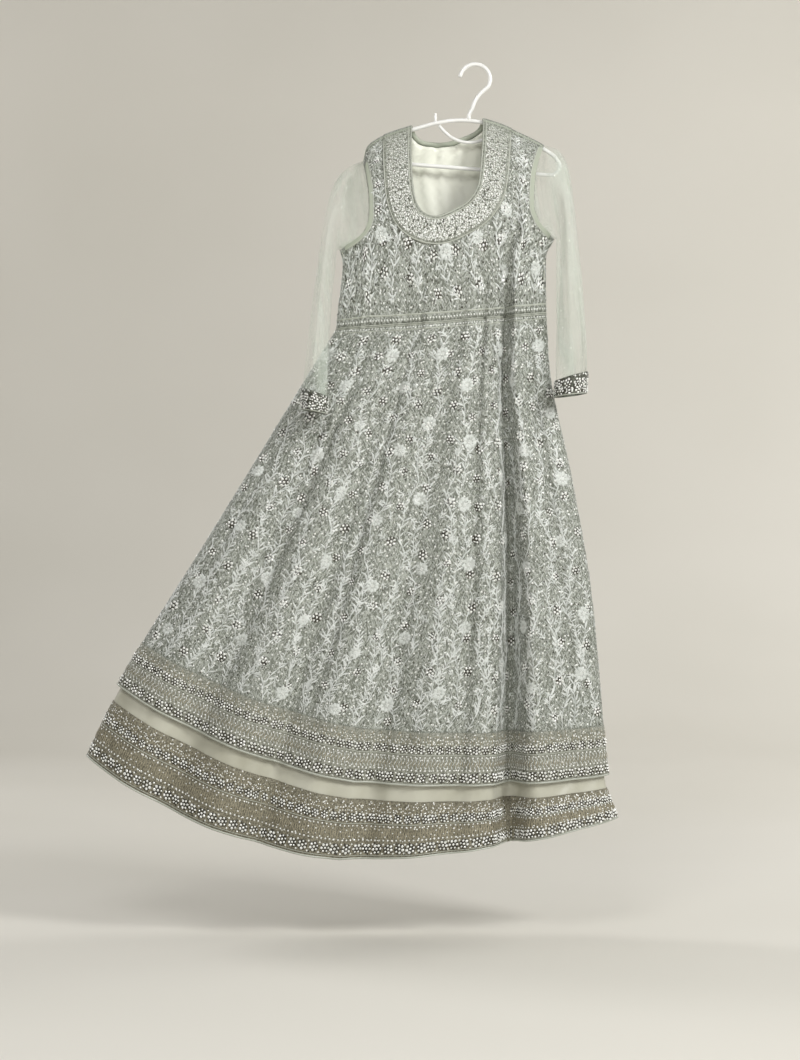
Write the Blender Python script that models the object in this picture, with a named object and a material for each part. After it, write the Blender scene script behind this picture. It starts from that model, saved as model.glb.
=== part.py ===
"""Embroidered maxi dress with its underskirt, hanging on a white tube hanger.

Metres, +Z up, the dress faces -Y. The origin is where the hanger's hook bears on its rail.
The dress is one flattened tube. Its surface is addressed by a turn and a level: the turn runs
from 0 at the left side seam to pi at the right one, and the level from -1 at the shoulder line,
through 0 at the waist seam, to 1 at the dress's hem and UNDER_HEM_LEVEL at the underskirt's hem.
"""

import math
from collections import namedtuple

import bmesh
import bpy
from mathutils import Vector
from mathutils.geometry import delaunay_2d_cdt

# Cloth
SEAM_GAP = 0.0003
NET_WALL = 0.0016
SLEEVE_WALL = 0.0012
SATIN_WALL = 0.0012
LINING_WALL = 0.0010
BORDER_WALL = 0.0012
UNDER_HEM_LEVEL = 1.163
UNDERSKIRT_TOP = 0.010
UNDERSKIRT_TUCK = 0.0024
UNDERSKIRT_HANG = 0.0085
UNDERSKIRT_HANGS_BY = 0.20

# Hanger
TUBE_RADIUS = 0.0042
HANGER_TILT = math.radians(4.5)
HANGER_CENTRE = Vector((-0.0135, 0.0, -0.1142))
HANGER_BAR_DROP = 0.101
HANGER_END_RADIUS = 0.0185
HANGER_END_OUT = 0.1795
HANGER_END_START = math.radians(52)
HANGER_END_STEPS = 6
HANGER_BAR_POINTS = (0.12, 0.06, 0.0)
HOOK_RADIUS = 0.0318
HOOK_START = math.radians(-28)
HOOK_END = math.radians(172)
HOOK_STEPS = 15
HOOK_FOOT_RISE = 0.012
BRACE_RADIUS = 0.0034
BRACE_HALF = 0.061
BRACE_START = 0.0152
BRACE_DROP = 0.046
BRACE_STEPS = 12
BRACE_SHAPE = 2.2

# How the cloth goes over the hanger's arms: how far above them, how round, and where that ends
SHOULDER_CLEARANCE = 0.0024
SHOULDER_RISE = TUBE_RADIUS + SHOULDER_CLEARANCE + NET_WALL
SHOULDER_WRAP = 0.0105
WRAP_GROWS_OVER = 0.35
WRAP_FADES_FROM = 0.03
WRAP_FADES_OVER = 0.10
WRAP_BLEND = 3

# Borders, sewn flat on the cloth
NECK_BORDER_WIDTH = 0.060
BACK_NECK_BORDER_WIDTH = 0.030
NECK_FACING_WIDTH = 0.011
HEM_BORDER_START = 0.885
UNDER_BORDER_START = 1.035
FACING_START = -0.96
LINING_START = -0.86

Arm = namedtuple("Arm", "out drop")
HANGER_ARM = [
    Arm(0.000, 0.000),
    Arm(0.020, 0.0010),
    Arm(0.040, 0.0040),
    Arm(0.070, 0.0115),
    Arm(0.103, 0.0235),
    Arm(0.138, 0.0370),
    Arm(0.166, 0.0495),
    Arm(0.186, 0.0610),
]

Point = namedtuple("Point", "x z")
HOOK_STEM = [Point(-0.0055, -0.0880), Point(0.0000, -0.0730), Point(0.0115, -0.0575)]

Edge = namedtuple("Edge", "rise left right front back")
# Bodice side edges and half depths, by the cosine of the height angle: 0 at the waist, 1 at the top.
BODICE_EDGES = [
    Edge(0.00, -0.2915, 0.1495, 0.043, 0.039),
    Edge(0.20, -0.2863, 0.1486, 0.049, 0.044),
    Edge(0.36, -0.2800, 0.1505, 0.055, 0.049),
    Edge(0.45, -0.2772, 0.1663, 0.058, 0.053),
    Edge(0.49, -0.2768, 0.1680, 0.059, 0.054),
    Edge(0.53, -0.2785, 0.1690, 0.059, 0.055),
    Edge(0.60, -0.2835, 0.1700, 0.060, 0.056),
    Edge(0.75, -0.2850, 0.1715, 0.060, 0.057),
    Edge(1.00, -0.2850, 0.1720, 0.060, 0.057),
]

Row = namedtuple("Row", "level left_x left_z mid_x mid_z right_x right_z front back")
# Each row is an arc across the dress, from the left side seam over the middle to the right one.
SKIRT_ROWS = [
    Row(0.000, -0.2915, -0.5531, -0.0710, -0.5405, 0.1495, -0.5195, 0.043, 0.039),
    Row(0.150, -0.3603, -0.6644, -0.0985, -0.6835, 0.1600, -0.6600, 0.050, 0.046),
    Row(0.350, -0.4521, -0.8142, -0.1350, -0.8740, 0.2020, -0.8577, 0.062, 0.056),
    Row(0.600, -0.5668, -1.0004, -0.1806, -1.1118, 0.2440, -1.1012, 0.079, 0.070),
    Row(1.000, -0.7503, -1.2986, -0.2537, -1.4931, 0.2797, -1.4877, 0.106, 0.092),
    Row(UNDER_HEM_LEVEL, -0.8144, -1.4478, -0.2831, -1.6514, 0.2986, -1.5779, 0.116, 0.100),
]
RIGHT_HALF_LIFT = 0.014

FOLD_GROWTH = 0.8
Fold = namedtuple("Fold", "across half_width height starts")
# Folds run down from where they start, and are as high as listed at the hem. A valley is negative.
FRONT_FOLDS = [
    Fold(-0.84, 0.10, 0.010, 0.10),
    Fold(-0.68, 0.10, -0.016, 0.00),
    Fold(-0.49, 0.13, 0.017, -0.20),
    Fold(-0.31, 0.08, -0.021, 0.05),
    Fold(-0.13, 0.12, 0.016, -0.30),
    Fold(0.07, 0.09, -0.017, 0.00),
    Fold(0.26, 0.12, 0.015, -0.35),
    Fold(0.47, 0.08, 0.010, 0.10),
    Fold(0.615, 0.075, -0.042, -0.80),
    Fold(0.76, 0.08, 0.014, -0.20),
]
BACK_FOLDS = [
    Fold(-0.78, 0.12, 0.012, 0.05),
    Fold(-0.56, 0.10, -0.019, -0.10),
    Fold(-0.36, 0.11, 0.015, 0.10),
    Fold(-0.14, 0.09, -0.016, 0.00),
    Fold(0.08, 0.13, 0.018, -0.25),
    Fold(0.30, 0.09, -0.020, 0.05),
    Fold(0.52, 0.11, 0.014, -0.10),
    Fold(0.72, 0.09, -0.013, 0.15),
]

NECK_RIGHT_X = 0.0162
NECK_LEFT_X = -0.1319
FRONT_NECK = [
    Point(0.0151, -0.1478),
    Point(0.0130, -0.1814),
    Point(0.0067, -0.2444),
    Point(-0.0045, -0.2765),
    Point(-0.0240, -0.2950),
    Point(-0.0531, -0.3108),
    Point(-0.0810, -0.3205),
    Point(-0.1040, -0.3170),
    Point(-0.1220, -0.2930),
    Point(-0.1300, -0.2500),
    Point(-0.1330, -0.2000),
    Point(-0.1330, -0.1600),
]
BACK_NECK = [
    Point(0.0060, -0.1290),
    Point(-0.0120, -0.1400),
    Point(-0.0542, -0.1541),
    Point(-0.0900, -0.1560),
    Point(-0.1180, -0.1480),
]
# The armholes below their tops, which lie on the shoulder line
RIGHT_TIP_X = 0.1453
LEFT_TIP_X = -0.2350
RIGHT_ARMHOLE = [
    Point(0.1327, -0.2024),
    Point(0.1254, -0.2381),
    Point(0.1235, -0.2990),
    Point(0.1310, -0.3243),
    Point(0.1432, -0.3431),
    Point(0.1663, -0.3641),
]
LEFT_ARMHOLE = [
    Point(-0.2280, -0.2362),
    Point(-0.2235, -0.2700),
    Point(-0.2240, -0.3270),
    Point(-0.2330, -0.3500),
    Point(-0.2520, -0.3690),
    Point(-0.2835, -0.3872),
]
# The shoulder line hangs down past the hanger's left end, and goes on past its right one
SHOULDER_DROOP = [Point(-0.2785, -0.2700), Point(-0.2350, -0.1995), Point(-0.2285, -0.1725)]
SHOULDER_END = Point(0.1850, -0.1860)

Station = namedtuple("Station", "along outer_x outer_z inner_x inner_z depth forward")
# A sleeve is a row of tilted rings, each from the sleeve's outer edge to its inner edge.
RIGHT_SLEEVE = [
    Station(0.00, 0.1453, -0.1646, 0.1663, -0.3641, 0.030, 0.000),
    Station(0.04, 0.1610, -0.1700, 0.1702, -0.3635, 0.036, 0.001),
    Station(0.08, 0.1770, -0.1810, 0.1716, -0.3730, 0.041, 0.002),
    Station(0.16, 0.1930, -0.2140, 0.1705, -0.4020, 0.047, 0.005),
    Station(0.30, 0.2040, -0.2740, 0.1700, -0.4450, 0.053, 0.010),
    Station(0.50, 0.2165, -0.3900, 0.1685, -0.5110, 0.055, 0.020),
    Station(0.70, 0.2260, -0.5150, 0.1675, -0.5830, 0.051, 0.030),
    Station(0.88, 0.2318, -0.6240, 0.1665, -0.6500, 0.044, 0.039),
    Station(1.00, 0.2290, -0.6900, 0.1640, -0.6985, 0.041, 0.043),
]
LEFT_SLEEVE = [
    Station(0.00, -0.2350, -0.1995, -0.2835, -0.3872, 0.030, 0.000),
    Station(0.04, -0.2540, -0.2070, -0.2885, -0.3865, 0.035, 0.002),
    Station(0.08, -0.2720, -0.2200, -0.2910, -0.3960, 0.039, 0.006),
    Station(0.16, -0.2960, -0.2560, -0.2925, -0.4230, 0.043, 0.015),
    Station(0.30, -0.3130, -0.3220, -0.2970, -0.4680, 0.047, 0.034),
    Station(0.50, -0.3290, -0.4370, -0.3010, -0.5380, 0.046, 0.060),
    Station(0.70, -0.3440, -0.5560, -0.3030, -0.6150, 0.042, 0.079),
    Station(0.88, -0.3560, -0.6620, -0.3060, -0.6850, 0.038, 0.089),
    Station(1.00, -0.3600, -0.7260, -0.3080, -0.7360, 0.036, 0.094),
]
SLEEVE_RINGS = [0.0, 0.04, 0.08, 0.13, 0.20, 0.30, 0.42, 0.54, 0.66, 0.78, 0.915, 1.0]
CUFF_START = 0.915
# The share of the sleeve over which the armhole's form fades, sooner at the underarm
SLEEVE_CAP = 0.20
UNDERARM_SOONER = 0.75
# A sleeve starts just off the armhole, and this way from it. Its underarm faces the other way.
ARMHOLE_GAP = SEAM_GAP * 1.5
ARMHOLE_WAY = (0.94, -0.34)
UNDERARM_WAY = (-0.3, -0.95)
# Shares of the way down the armhole, closest where the cloth turns over the shoulder
ARMHOLE_SHARES = [0.0, 0.02, 0.055, 0.11, 0.20, 0.32, 0.46, 0.62, 0.80, 1.0]
SLEEVE_HALF = len(ARMHOLE_SHARES) - 1
SLEEVE_SIDES = 2 * SLEEVE_HALF
SLEEVE_ROUNDING = 0.62
SLEEVE_RIPPLE = 0.0022
RIPPLES = 5
RIPPLE_START = 0.7
RIPPLE_FADE = 0.5

# How finely the walls are divided
SKIRT_LEVELS = [0.0, 0.10, 0.22, 0.36, 0.50, 0.64, 0.77, HEM_BORDER_START, 0.945, 1.0]
UNDER_LEVELS = [UNDERSKIRT_TOP, 0.14, 0.32, 0.52, 0.74, 0.93, UNDER_BORDER_START, 1.10, UNDER_HEM_LEVEL]
NORMAL_STEP = 1e-4
ADDRESS_ROUNDS = 40
SHARP_ANGLE = math.radians(50)
WELD_DISTANCE = 1e-6
BASE_TURNS = 24
LEAST_TURN_STEP = 0.045
SIDE_STEPS = 6
NECK_ENDS = [0.0, 0.005, 0.018, 0.045]
NECK_MIDDLE = [i / 20 for i in range(2, 19)]
SHOULDER_STEPS = 5
LEAST_SHOULDER_STEP = 0.008
BORDER_SHARE = 0.97
FLAT_TURN = 0.15
FLAT_LEVEL = 0.42
INNER_TURNS = 17
# The rows inside a bodice panel, closest where the cloth turns over the shoulder
INNER_LEVELS = [-0.94, -0.88, -0.79, -0.68, -0.57, -0.45, -0.34, -0.23, -0.11]
CLEAR_OF_EDGE = 0.013
CLEAR_OF_ROW = 0.03

Cloth = namedtuple("Cloth", "points normals faces side")

WHITE_PLASTIC = ("white_plastic", (0.86, 0.85, 0.82), 0.35)
NET = ("embroidered_net", (0.47, 0.49, 0.43), 0.7)
SHEER_NET = ("sheer_net", (0.62, 0.66, 0.56), 0.8)
SATIN = ("satin", (0.42, 0.40, 0.32), 0.4)
PALE_SATIN = ("pale_satin", (0.60, 0.62, 0.52), 0.4)
BEADWORK = ("beadwork", (0.40, 0.40, 0.33), 0.5)


def clear_scene():
    for obj in list(bpy.data.objects):
        bpy.data.objects.remove(obj, do_unlink=True)


def material(kind):
    name, colour, roughness = kind
    found = bpy.data.materials.get(name)
    if found:
        return found
    made = bpy.data.materials.new(name)
    made.use_nodes = True
    shader = made.node_tree.nodes["Principled BSDF"]
    shader.inputs["Base Color"].default_value = (*colour, 1.0)
    shader.inputs["Roughness"].default_value = roughness
    shader.inputs["Metallic"].default_value = 0.0
    return made


def smooth_through(xs, ys):
    """A smooth curve through the points, as a function of x, straight past its ends."""
    slopes = []
    for i in range(len(xs)):
        low, high = max(i - 1, 0), min(i + 1, len(xs) - 1)
        slopes.append((ys[high] - ys[low]) / (xs[high] - xs[low]))

    def at(x):
        if x <= xs[0]:
            return ys[0] + slopes[0] * (x - xs[0])
        if x >= xs[-1]:
            return ys[-1] + slopes[-1] * (x - xs[-1])
        i = max(k for k in range(len(xs) - 1) if xs[k] <= x)
        step = xs[i + 1] - xs[i]
        u = (x - xs[i]) / step
        a = (1 + 2 * u) * (1 - u) ** 2
        b = u * (1 - u) ** 2 * step
        c = u * u * (3 - 2 * u)
        d = u * u * (u - 1) * step
        return a * ys[i] + b * slopes[i] + c * ys[i + 1] + d * slopes[i + 1]

    return at


def columns_of(rows):
    """One smooth function for each column of a table, by the table's first column."""
    keys = [row[0] for row in rows]
    return {
        name: smooth_through(keys, [getattr(row, name) for row in rows])
        for name in rows[0]._fields[1:]
    }


def smoothstep(x):
    x = min(max(x, 0.0), 1.0)
    return x * x * (3 - 2 * x)


def sampled(points, shares):
    """Places on the smooth line through flat points, at those shares of its length."""
    reach = [0.0]
    for a, b in zip(points, points[1:]):
        reach.append(reach[-1] + math.dist(a, b))
    x_at = smooth_through(reach, [p[0] for p in points])
    z_at = smooth_through(reach, [p[1] for p in points])
    return [(x_at(reach[-1] * share), z_at(reach[-1] * share)) for share in shares]


# Hanger, and the shoulder line that hangs over it


def hanger_point(out, drop):
    """A place on the tilted hanger, from its middle: out to the right, and down."""
    x = out * math.cos(HANGER_TILT) - drop * math.sin(HANGER_TILT)
    z = -out * math.sin(HANGER_TILT) - drop * math.cos(HANGER_TILT)
    return HANGER_CENTRE + Vector((x, 0, z))


def shoulder_line():
    """Heights of the cloth over the hanger's arms, drooping past the left end."""
    arm = [hanger_point(-a.out, a.drop) for a in reversed(HANGER_ARM)]
    arm += [hanger_point(a.out, a.drop) for a in HANGER_ARM[1:]]
    line = [(p.x, p.z) for p in SHOULDER_DROOP]
    for i, here in enumerate(arm[:-1]):
        along = arm[i + 1] - arm[max(i - 1, 0)]
        over = Vector((-along.z, 0, along.x)).normalized() * SHOULDER_RISE
        line.append((here.x + over.x, here.z + over.z))
    line.append((SHOULDER_END.x, SHOULDER_END.z))
    return smooth_through([p[0] for p in line], [p[1] for p in line])


SHOULDER_Z = shoulder_line()
BODICE = columns_of(BODICE_EDGES)
SKIRT = columns_of(SKIRT_ROWS)


def arc_across(row, s):
    """A skirt row's place at s, from -1 at the left seam to 1 at the right one."""
    middle = Vector((row["mid_x"], row["mid_z"]))
    left = Vector((row["left_x"], row["left_z"]))
    right = Vector((row["right_x"], row["right_z"]))
    place = middle + (right - left) / 2 * s + ((right + left) / 2 - middle) * s * s
    return place


def fold_height(folds, s, level):
    total = 0.0
    for fold in folds:
        off = (s - fold.across) / fold.half_width
        if abs(off) < 1:
            grown = smoothstep((level - fold.starts) / (1.0 - fold.starts)) ** FOLD_GROWTH
            total += fold.height * grown * (1 + math.cos(math.pi * off)) / 2
    return total


def waist_height(s):
    return arc_across({name: SKIRT[name](0.0) for name in SKIRT}, s).y


def bodice_place(s, level):
    """Flat place of the bodice at a level from -1, the top, to 0, the waist, and its rise."""
    rise = math.cos(math.pi / 2 * (1 + level))
    left, right = BODICE["left"](rise), BODICE["right"](rise)
    x = (left + right) / 2 + (right - left) / 2 * s
    low = waist_height(s)
    return x, low + (SHOULDER_Z(x) - low) * rise, rise


def bodice_depth(side, turn, level):
    """How far the bodice stands out: round the hanger's arms at the top, full at the bust."""
    x, z, rise = bodice_place(-math.cos(turn), level)
    bulge = math.sin(turn)
    share = math.sin(math.pi / 2 * (1 + level))
    full = BODICE["front" if side < 0 else "back"](rise) * share * bulge
    drop = SHOULDER_Z(x) - z
    reach = min(drop, SHOULDER_WRAP)
    wrap = math.sqrt(max(SHOULDER_WRAP ** 2 - (SHOULDER_WRAP - reach) ** 2, 0.0))
    wrap *= smoothstep(bulge / WRAP_GROWS_OVER) * (1 - smoothstep((drop - WRAP_FADES_FROM) / WRAP_FADES_OVER))
    return math.copysign((abs(full) ** WRAP_BLEND + wrap ** WRAP_BLEND) ** (1 / WRAP_BLEND), bulge)


def surface(side, turn, level):
    """A point of the dress's outer surface. Side is -1 at the front and 1 at the back."""
    s, bulge = -math.cos(turn), math.sin(turn)
    folds = FRONT_FOLDS if side < 0 else BACK_FOLDS
    if level <= 0:
        x, z, _ = bodice_place(s, level)
        out = bodice_depth(side, turn, level)
        share = math.sin(math.pi / 2 * (1 + level))
    else:
        row = {name: SKIRT[name](level) for name in SKIRT}
        place = arc_across(row, s)
        lift = RIGHT_HALF_LIFT * level * 4 * s * (1 - s) if s > 0 else 0.0
        x, z = place.x, place.y + lift
        out = row["front" if side < 0 else "back"] * bulge
        share = 1.0
    crease = fold_height(folds, s, level) * share
    return Vector((x, side * (out + crease), z))


def outward(side, turn, level):
    """The unit normal of the outer surface."""
    step = NORMAL_STEP
    across = surface(side, turn + step, level) - surface(side, turn - step, level)
    if -1 + step < level < -step or level > step:
        down = surface(side, turn, level + step) - surface(side, turn, level - step)
    elif level <= -1 + step:
        down = surface(side, turn, level + step) - surface(side, turn, level)
    else:
        down = surface(side, turn, level) - surface(side, turn, level - step)
    return (across.cross(down) * side).normalized()


def bodice_address(x, z):
    """The turn and level of a flat place on the bodice."""
    rise = 0.5
    for _ in range(ADDRESS_ROUNDS):
        left, right = BODICE["left"](rise), BODICE["right"](rise)
        s = min(max((x - (left + right) / 2) / ((right - left) / 2), -1.0), 1.0)
        low = waist_height(s)
        rise = min(max((z - low) / (SHOULDER_Z(x) - low), 0.0), 1.0)
    return math.acos(-s), math.acos(rise) / (math.pi / 2) - 1


# Walls


def body_cloth(side, addresses, faces, inset=lambda level: 0.0):
    """Cloth that follows the dress's surface, set in from it by a depth for each level."""
    points, normals = [], []
    for turn, level in addresses:
        normal = outward(side, turn, level)
        points.append(surface(side, turn, level) - normal * inset(level))
        normals.append(normal)
    return Cloth(points, normals, faces, side)


def add_wall(name, cloth, faces, top, bottom, kind):
    """A closed wall over some of the cloth's faces, from bottom to top along its normals."""
    used = sorted({v for face in faces for v in face})
    mesh = bmesh.new()
    skins = []
    for height in (top, bottom):
        skin = {}
        for v in used:
            place = cloth.points[v] + cloth.normals[v] * height
            if cloth.side:
                place.y = cloth.side * max(cloth.side * place.y, SEAM_GAP / 2)
            skin[v] = mesh.verts.new(place)
        skins.append(skin)
    upper, lower = skins
    edges = {}
    for face in faces:
        mesh.faces.new([upper[v] for v in face])
        mesh.faces.new([lower[v] for v in reversed(face)])
        for a, b in zip(face, face[1:] + face[:1]):
            edges[(a, b)] = edges.get((a, b), 0) + 1
    for a, b in edges:
        if (b, a) not in edges:
            mesh.faces.new([upper[b], upper[a], lower[a], lower[b]])
    return finish_mesh(name, mesh, kind)


def finish_mesh(name, mesh, kind):
    bmesh.ops.triangulate(mesh, faces=mesh.faces[:])
    bmesh.ops.recalc_face_normals(mesh, faces=mesh.faces[:])
    data = bpy.data.meshes.new(name)
    mesh.to_mesh(data)
    mesh.free()
    data.materials.append(material(kind))
    data.shade_smooth()
    data.set_sharp_from_angle(angle=SHARP_ANGLE)
    obj = bpy.data.objects.new(name, data)
    dress.objects.link(obj)
    return obj


def grid_faces(rows, columns, closed=False):
    """Quads of a grid whose points are listed row by row."""
    faces = []
    for r in range(rows - 1):
        for c in range(columns if closed else columns - 1):
            d = (c + 1) % columns
            faces.append([r * columns + c, r * columns + d, (r + 1) * columns + d, (r + 1) * columns + c])
    return faces


def turns_of(folds):
    """Where the skirt's columns stand: evenly round, and closer at each fold."""
    wanted = [math.acos(-f.across) for f in folds]
    for f in folds:
        for share in (-1.0, -0.5, 0.5, 1.0):
            wanted.append(math.acos(-min(max(f.across + share * f.half_width, -0.99), 0.99)))
    wanted += [math.pi * i / BASE_TURNS for i in range(1, BASE_TURNS)]
    kept = [0.0, math.pi]
    for turn in wanted:
        if min(abs(turn - other) for other in kept) > LEAST_TURN_STEP:
            kept.append(turn)
    return sorted(kept)


TURNS = {-1: turns_of(FRONT_FOLDS), 1: turns_of(BACK_FOLDS)}


def underskirt_inset(level):
    """The underskirt hangs clear of the skirt, and reaches the dress's line again at its own hem."""
    hang = UNDERSKIRT_TUCK + (UNDERSKIRT_HANG - UNDERSKIRT_TUCK) * smoothstep(level / UNDERSKIRT_HANGS_BY)
    below = smoothstep((level - 1.0) / (UNDER_HEM_LEVEL - 1.0))
    return hang * (1 - below)


def add_skirt(side, word):
    turns = TURNS[side]
    trim = SEAM_GAP / 2
    levels = [trim] + SKIRT_LEVELS[1:]
    addresses = [(turn, level) for level in levels for turn in turns]
    faces = grid_faces(len(levels), len(turns))
    cloth = body_cloth(side, addresses, faces)
    add_wall(f"skirt_{word}", cloth, faces, 0.0, -NET_WALL, NET)
    border = [f for f in faces if min(addresses[v][1] for v in f) > HEM_BORDER_START - 1e-6]
    add_wall(f"hem_border_{word}", cloth, border, SEAM_GAP + BORDER_WALL, SEAM_GAP, BEADWORK)

    under = [(turn, level) for level in UNDER_LEVELS for turn in turns]
    faces = grid_faces(len(UNDER_LEVELS), len(turns))
    cloth = body_cloth(side, under, faces, underskirt_inset)
    add_wall(f"underskirt_{word}", cloth, faces, 0.0, -SATIN_WALL, SATIN)
    border = [f for f in faces if min(under[v][1] for v in f) > UNDER_BORDER_START - 1e-6]
    add_wall(f"underskirt_border_{word}", cloth, border, SEAM_GAP + BORDER_WALL, SEAM_GAP, BEADWORK)


# Bodice


def neck_outline(points):
    """The neckline from the right neck point to the left one."""
    right = (NECK_RIGHT_X, SHOULDER_Z(NECK_RIGHT_X))
    left = (NECK_LEFT_X, SHOULDER_Z(NECK_LEFT_X))
    shares = NECK_ENDS + NECK_MIDDLE + [1 - share for share in reversed(NECK_ENDS)]
    return sampled([right] + points + [left], shares)


def beside(line, width):
    """A line at a width outside the neckline, which ends on the shoulder line."""
    moved = []
    for i, (x, z) in enumerate(line):
        ahead, behind = line[min(i + 1, len(line) - 1)], line[max(i - 1, 0)]
        along = Vector((ahead[0] - behind[0], ahead[1] - behind[1])).normalized()
        moved.append((x - along.y * width, z + along.x * width))
    kept = []
    for x, z in moved[1:-1]:
        below = SHOULDER_Z(x) - z
        if min(math.dist((x, z), p) for p in line) > BORDER_SHARE * width and below > width / 4:
            kept.append((x, z))
    right = NECK_RIGHT_X + width
    left = NECK_LEFT_X - width
    return [(right, SHOULDER_Z(right))] + kept + [(left, SHOULDER_Z(left))]


def shoulder_steps(start, end, through):
    """Places along a shoulder seam, through the ends of the borders that reach it."""
    even = [start + (end - start) * i / SHOULDER_STEPS for i in range(1, SHOULDER_STEPS)]
    near = [x for x in even if min(abs(x - t) for t in through) > LEAST_SHOULDER_STEP]
    return sorted(near + list(through), reverse=end < start)


def armhole_line(flip):
    """Places down an armhole, from its top on the shoulder line to the underarm."""
    tip = RIGHT_TIP_X if flip > 0 else LEFT_TIP_X
    below = RIGHT_ARMHOLE if flip > 0 else LEFT_ARMHOLE
    return sampled([(tip, SHOULDER_Z(tip))] + below, ARMHOLE_SHARES)


def bodice_outline(side, neck, border_ends):
    """The bodice panel's edge as addresses, round from the waist's left end."""
    def place(point):
        return bodice_address(*point)

    right, left = armhole_line(1), armhole_line(-1)
    right_under, left_under = place(right[-1])[1], place(left[-1])[1]
    edge = [(turn, -SEAM_GAP / 2) for turn in TURNS[side]]
    edge += [(math.pi, right_under * i / SIDE_STEPS) for i in range(1, SIDE_STEPS)]
    edge += [(math.pi, right_under)]
    edge += [place(p) for p in right[-2:0:-1]]
    rights = shoulder_steps(RIGHT_TIP_X, NECK_RIGHT_X, [e for e in border_ends if e > NECK_RIGHT_X])
    edge += [(place((x, SHOULDER_Z(x)))[0], -1.0) for x in [RIGHT_TIP_X] + rights + [NECK_RIGHT_X]]
    edge += [place(p) for p in neck[1:-1]]
    lefts = shoulder_steps(NECK_LEFT_X, LEFT_TIP_X, [e for e in border_ends if e < NECK_LEFT_X])
    edge += [(place((x, SHOULDER_Z(x)))[0], -1.0) for x in [NECK_LEFT_X] + lefts + [LEFT_TIP_X]]
    edge += [place(p) for p in left[1:-1]]
    edge += [(0.0, left_under)]
    edge += [(0.0, left_under * i / SIDE_STEPS) for i in range(SIDE_STEPS - 1, 0, -1)]
    return edge


def flat(address):
    """An address drawn about as large as the cloth is, for dividing it into triangles."""
    return Vector((address[0] * FLAT_TURN, address[1] * FLAT_LEVEL))


def is_inside(point, loop):
    inside = False
    for a, b in zip(loop, loop[1:] + loop[:1]):
        if (a.y > point.y) != (b.y > point.y):
            if point.x < a.x + (b.x - a.x) * (point.y - a.y) / (b.y - a.y):
                inside = not inside
    return inside


def divided(outline, lines):
    """Addresses and triangles of a panel with that edge, cut along the inner lines too."""
    loop = [flat(a) for a in outline]
    points = list(loop)
    edges = []
    for line in lines:
        ends = [min(range(len(loop)), key=lambda i: (loop[i] - flat(line[k])).length) for k in (0, -1)]
        chain = [ends[0]] + list(range(len(points), len(points) + len(line) - 2)) + [ends[1]]
        points += [flat(a) for a in line[1:-1]]
        edges += list(zip(chain, chain[1:]))
    held = list(points)
    for i in range(1, INNER_TURNS):
        for level in INNER_LEVELS:
            spot = flat((math.pi * i / INNER_TURNS, level))
            if is_inside(spot, loop) and min((spot - p).length for p in held) > CLEAR_OF_EDGE:
                points.append(spot)
    done = delaunay_2d_cdt(points, edges, [list(range(len(loop)))], 1, 1e-7)
    addresses = [(p.x / FLAT_TURN, p.y / FLAT_LEVEL) for p in done[0]]
    return addresses, [list(face) for face in done[2]]


def stepped(line):
    """The line with a point at each of the rows where it comes down from the shoulder."""
    for _ in range(2):
        (turn, level), (next_turn, next_level) = line[:2]
        steps = []
        for row in INNER_LEVELS:
            if level < row < next_level - CLEAR_OF_ROW:
                share = (row - level) / (next_level - level)
                steps.append((turn + (next_turn - turn) * share, row))
        line = ([(turn, level)] + steps + line[1:])[::-1]
    return line


def flat_place(address):
    x, z, _ = bodice_place(-math.cos(address[0]), address[1])
    return x, z


def near_line(address, line, width):
    """Whether a place on the bodice is within a width of the neckline."""
    here = flat_place(address)
    best = math.inf
    for a, b in zip(line, line[1:]):
        step = Vector((b[0] - a[0], b[1] - a[1]))
        share = min(max(Vector((here[0] - a[0], here[1] - a[1])).dot(step) / step.length_squared, 0), 1)
        best = min(best, math.dist(here, (a[0] + step.x * share, a[1] + step.y * share)))
    return best < width


def centre(addresses, face):
    return tuple(sum(addresses[v][k] for v in face) / len(face) for k in (0, 1))


def add_bodice(side, word, neck_points, widths):
    """One bodice panel, with a border on its neckline. Returns what the other pieces lie on."""
    neck = neck_outline(neck_points)
    lines = [beside(neck, width) for width in widths]
    ends = [line[k][0] for line in lines for k in (0, -1)]
    outline = bodice_outline(side, neck, ends)
    inner = [stepped([bodice_address(*p) for p in line]) for line in lines]
    addresses, faces = divided(outline, inner)
    cloth = body_cloth(side, addresses, faces)
    add_wall(f"bodice_{word}", cloth, faces, 0.0, -NET_WALL, NET)
    border = [f for f in faces if near_line(centre(addresses, f), neck, widths[0])]
    add_wall(f"neck_border_{word}", cloth, border, SEAM_GAP + BORDER_WALL, SEAM_GAP, BEADWORK)
    return cloth, addresses, neck


def add_lining(cloth, addresses, neck):
    """The satin lining of the back and the facing over its top edge, inside the back panel."""
    top = -NET_WALL - SEAM_GAP
    facing, lining = [], []
    for face in cloth.faces:
        middle = centre(addresses, face)
        highest = min(addresses[v][1] for v in face)
        if near_line(middle, neck, NECK_FACING_WIDTH) and highest > FACING_START:
            facing.append(face)
        elif highest > LINING_START:
            lining.append(face)
    add_wall("neck_facing_back", cloth, facing, top, top - LINING_WALL, SHEER_NET)
    under = top - LINING_WALL - SEAM_GAP
    add_wall("lining_back", cloth, largest_patch(lining), under, under - LINING_WALL, PALE_SATIN)


def largest_patch(faces):
    """The largest group of faces that share edges, so that no loose corner is left."""
    owners = {}
    for i, face in enumerate(faces):
        for a, b in zip(face, face[1:] + face[:1]):
            owners.setdefault(frozenset((a, b)), []).append(i)
    left, best = set(range(len(faces))), []
    while left:
        patch, front = set(), [left.pop()]
        while front:
            i = front.pop()
            patch.add(i)
            face = faces[i]
            for a, b in zip(face, face[1:] + face[:1]):
                for j in owners[frozenset((a, b))]:
                    if j in left:
                        left.remove(j)
                        front.append(j)
        best = max(best, sorted(patch), key=len)
    return [faces[i] for i in best]


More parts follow.
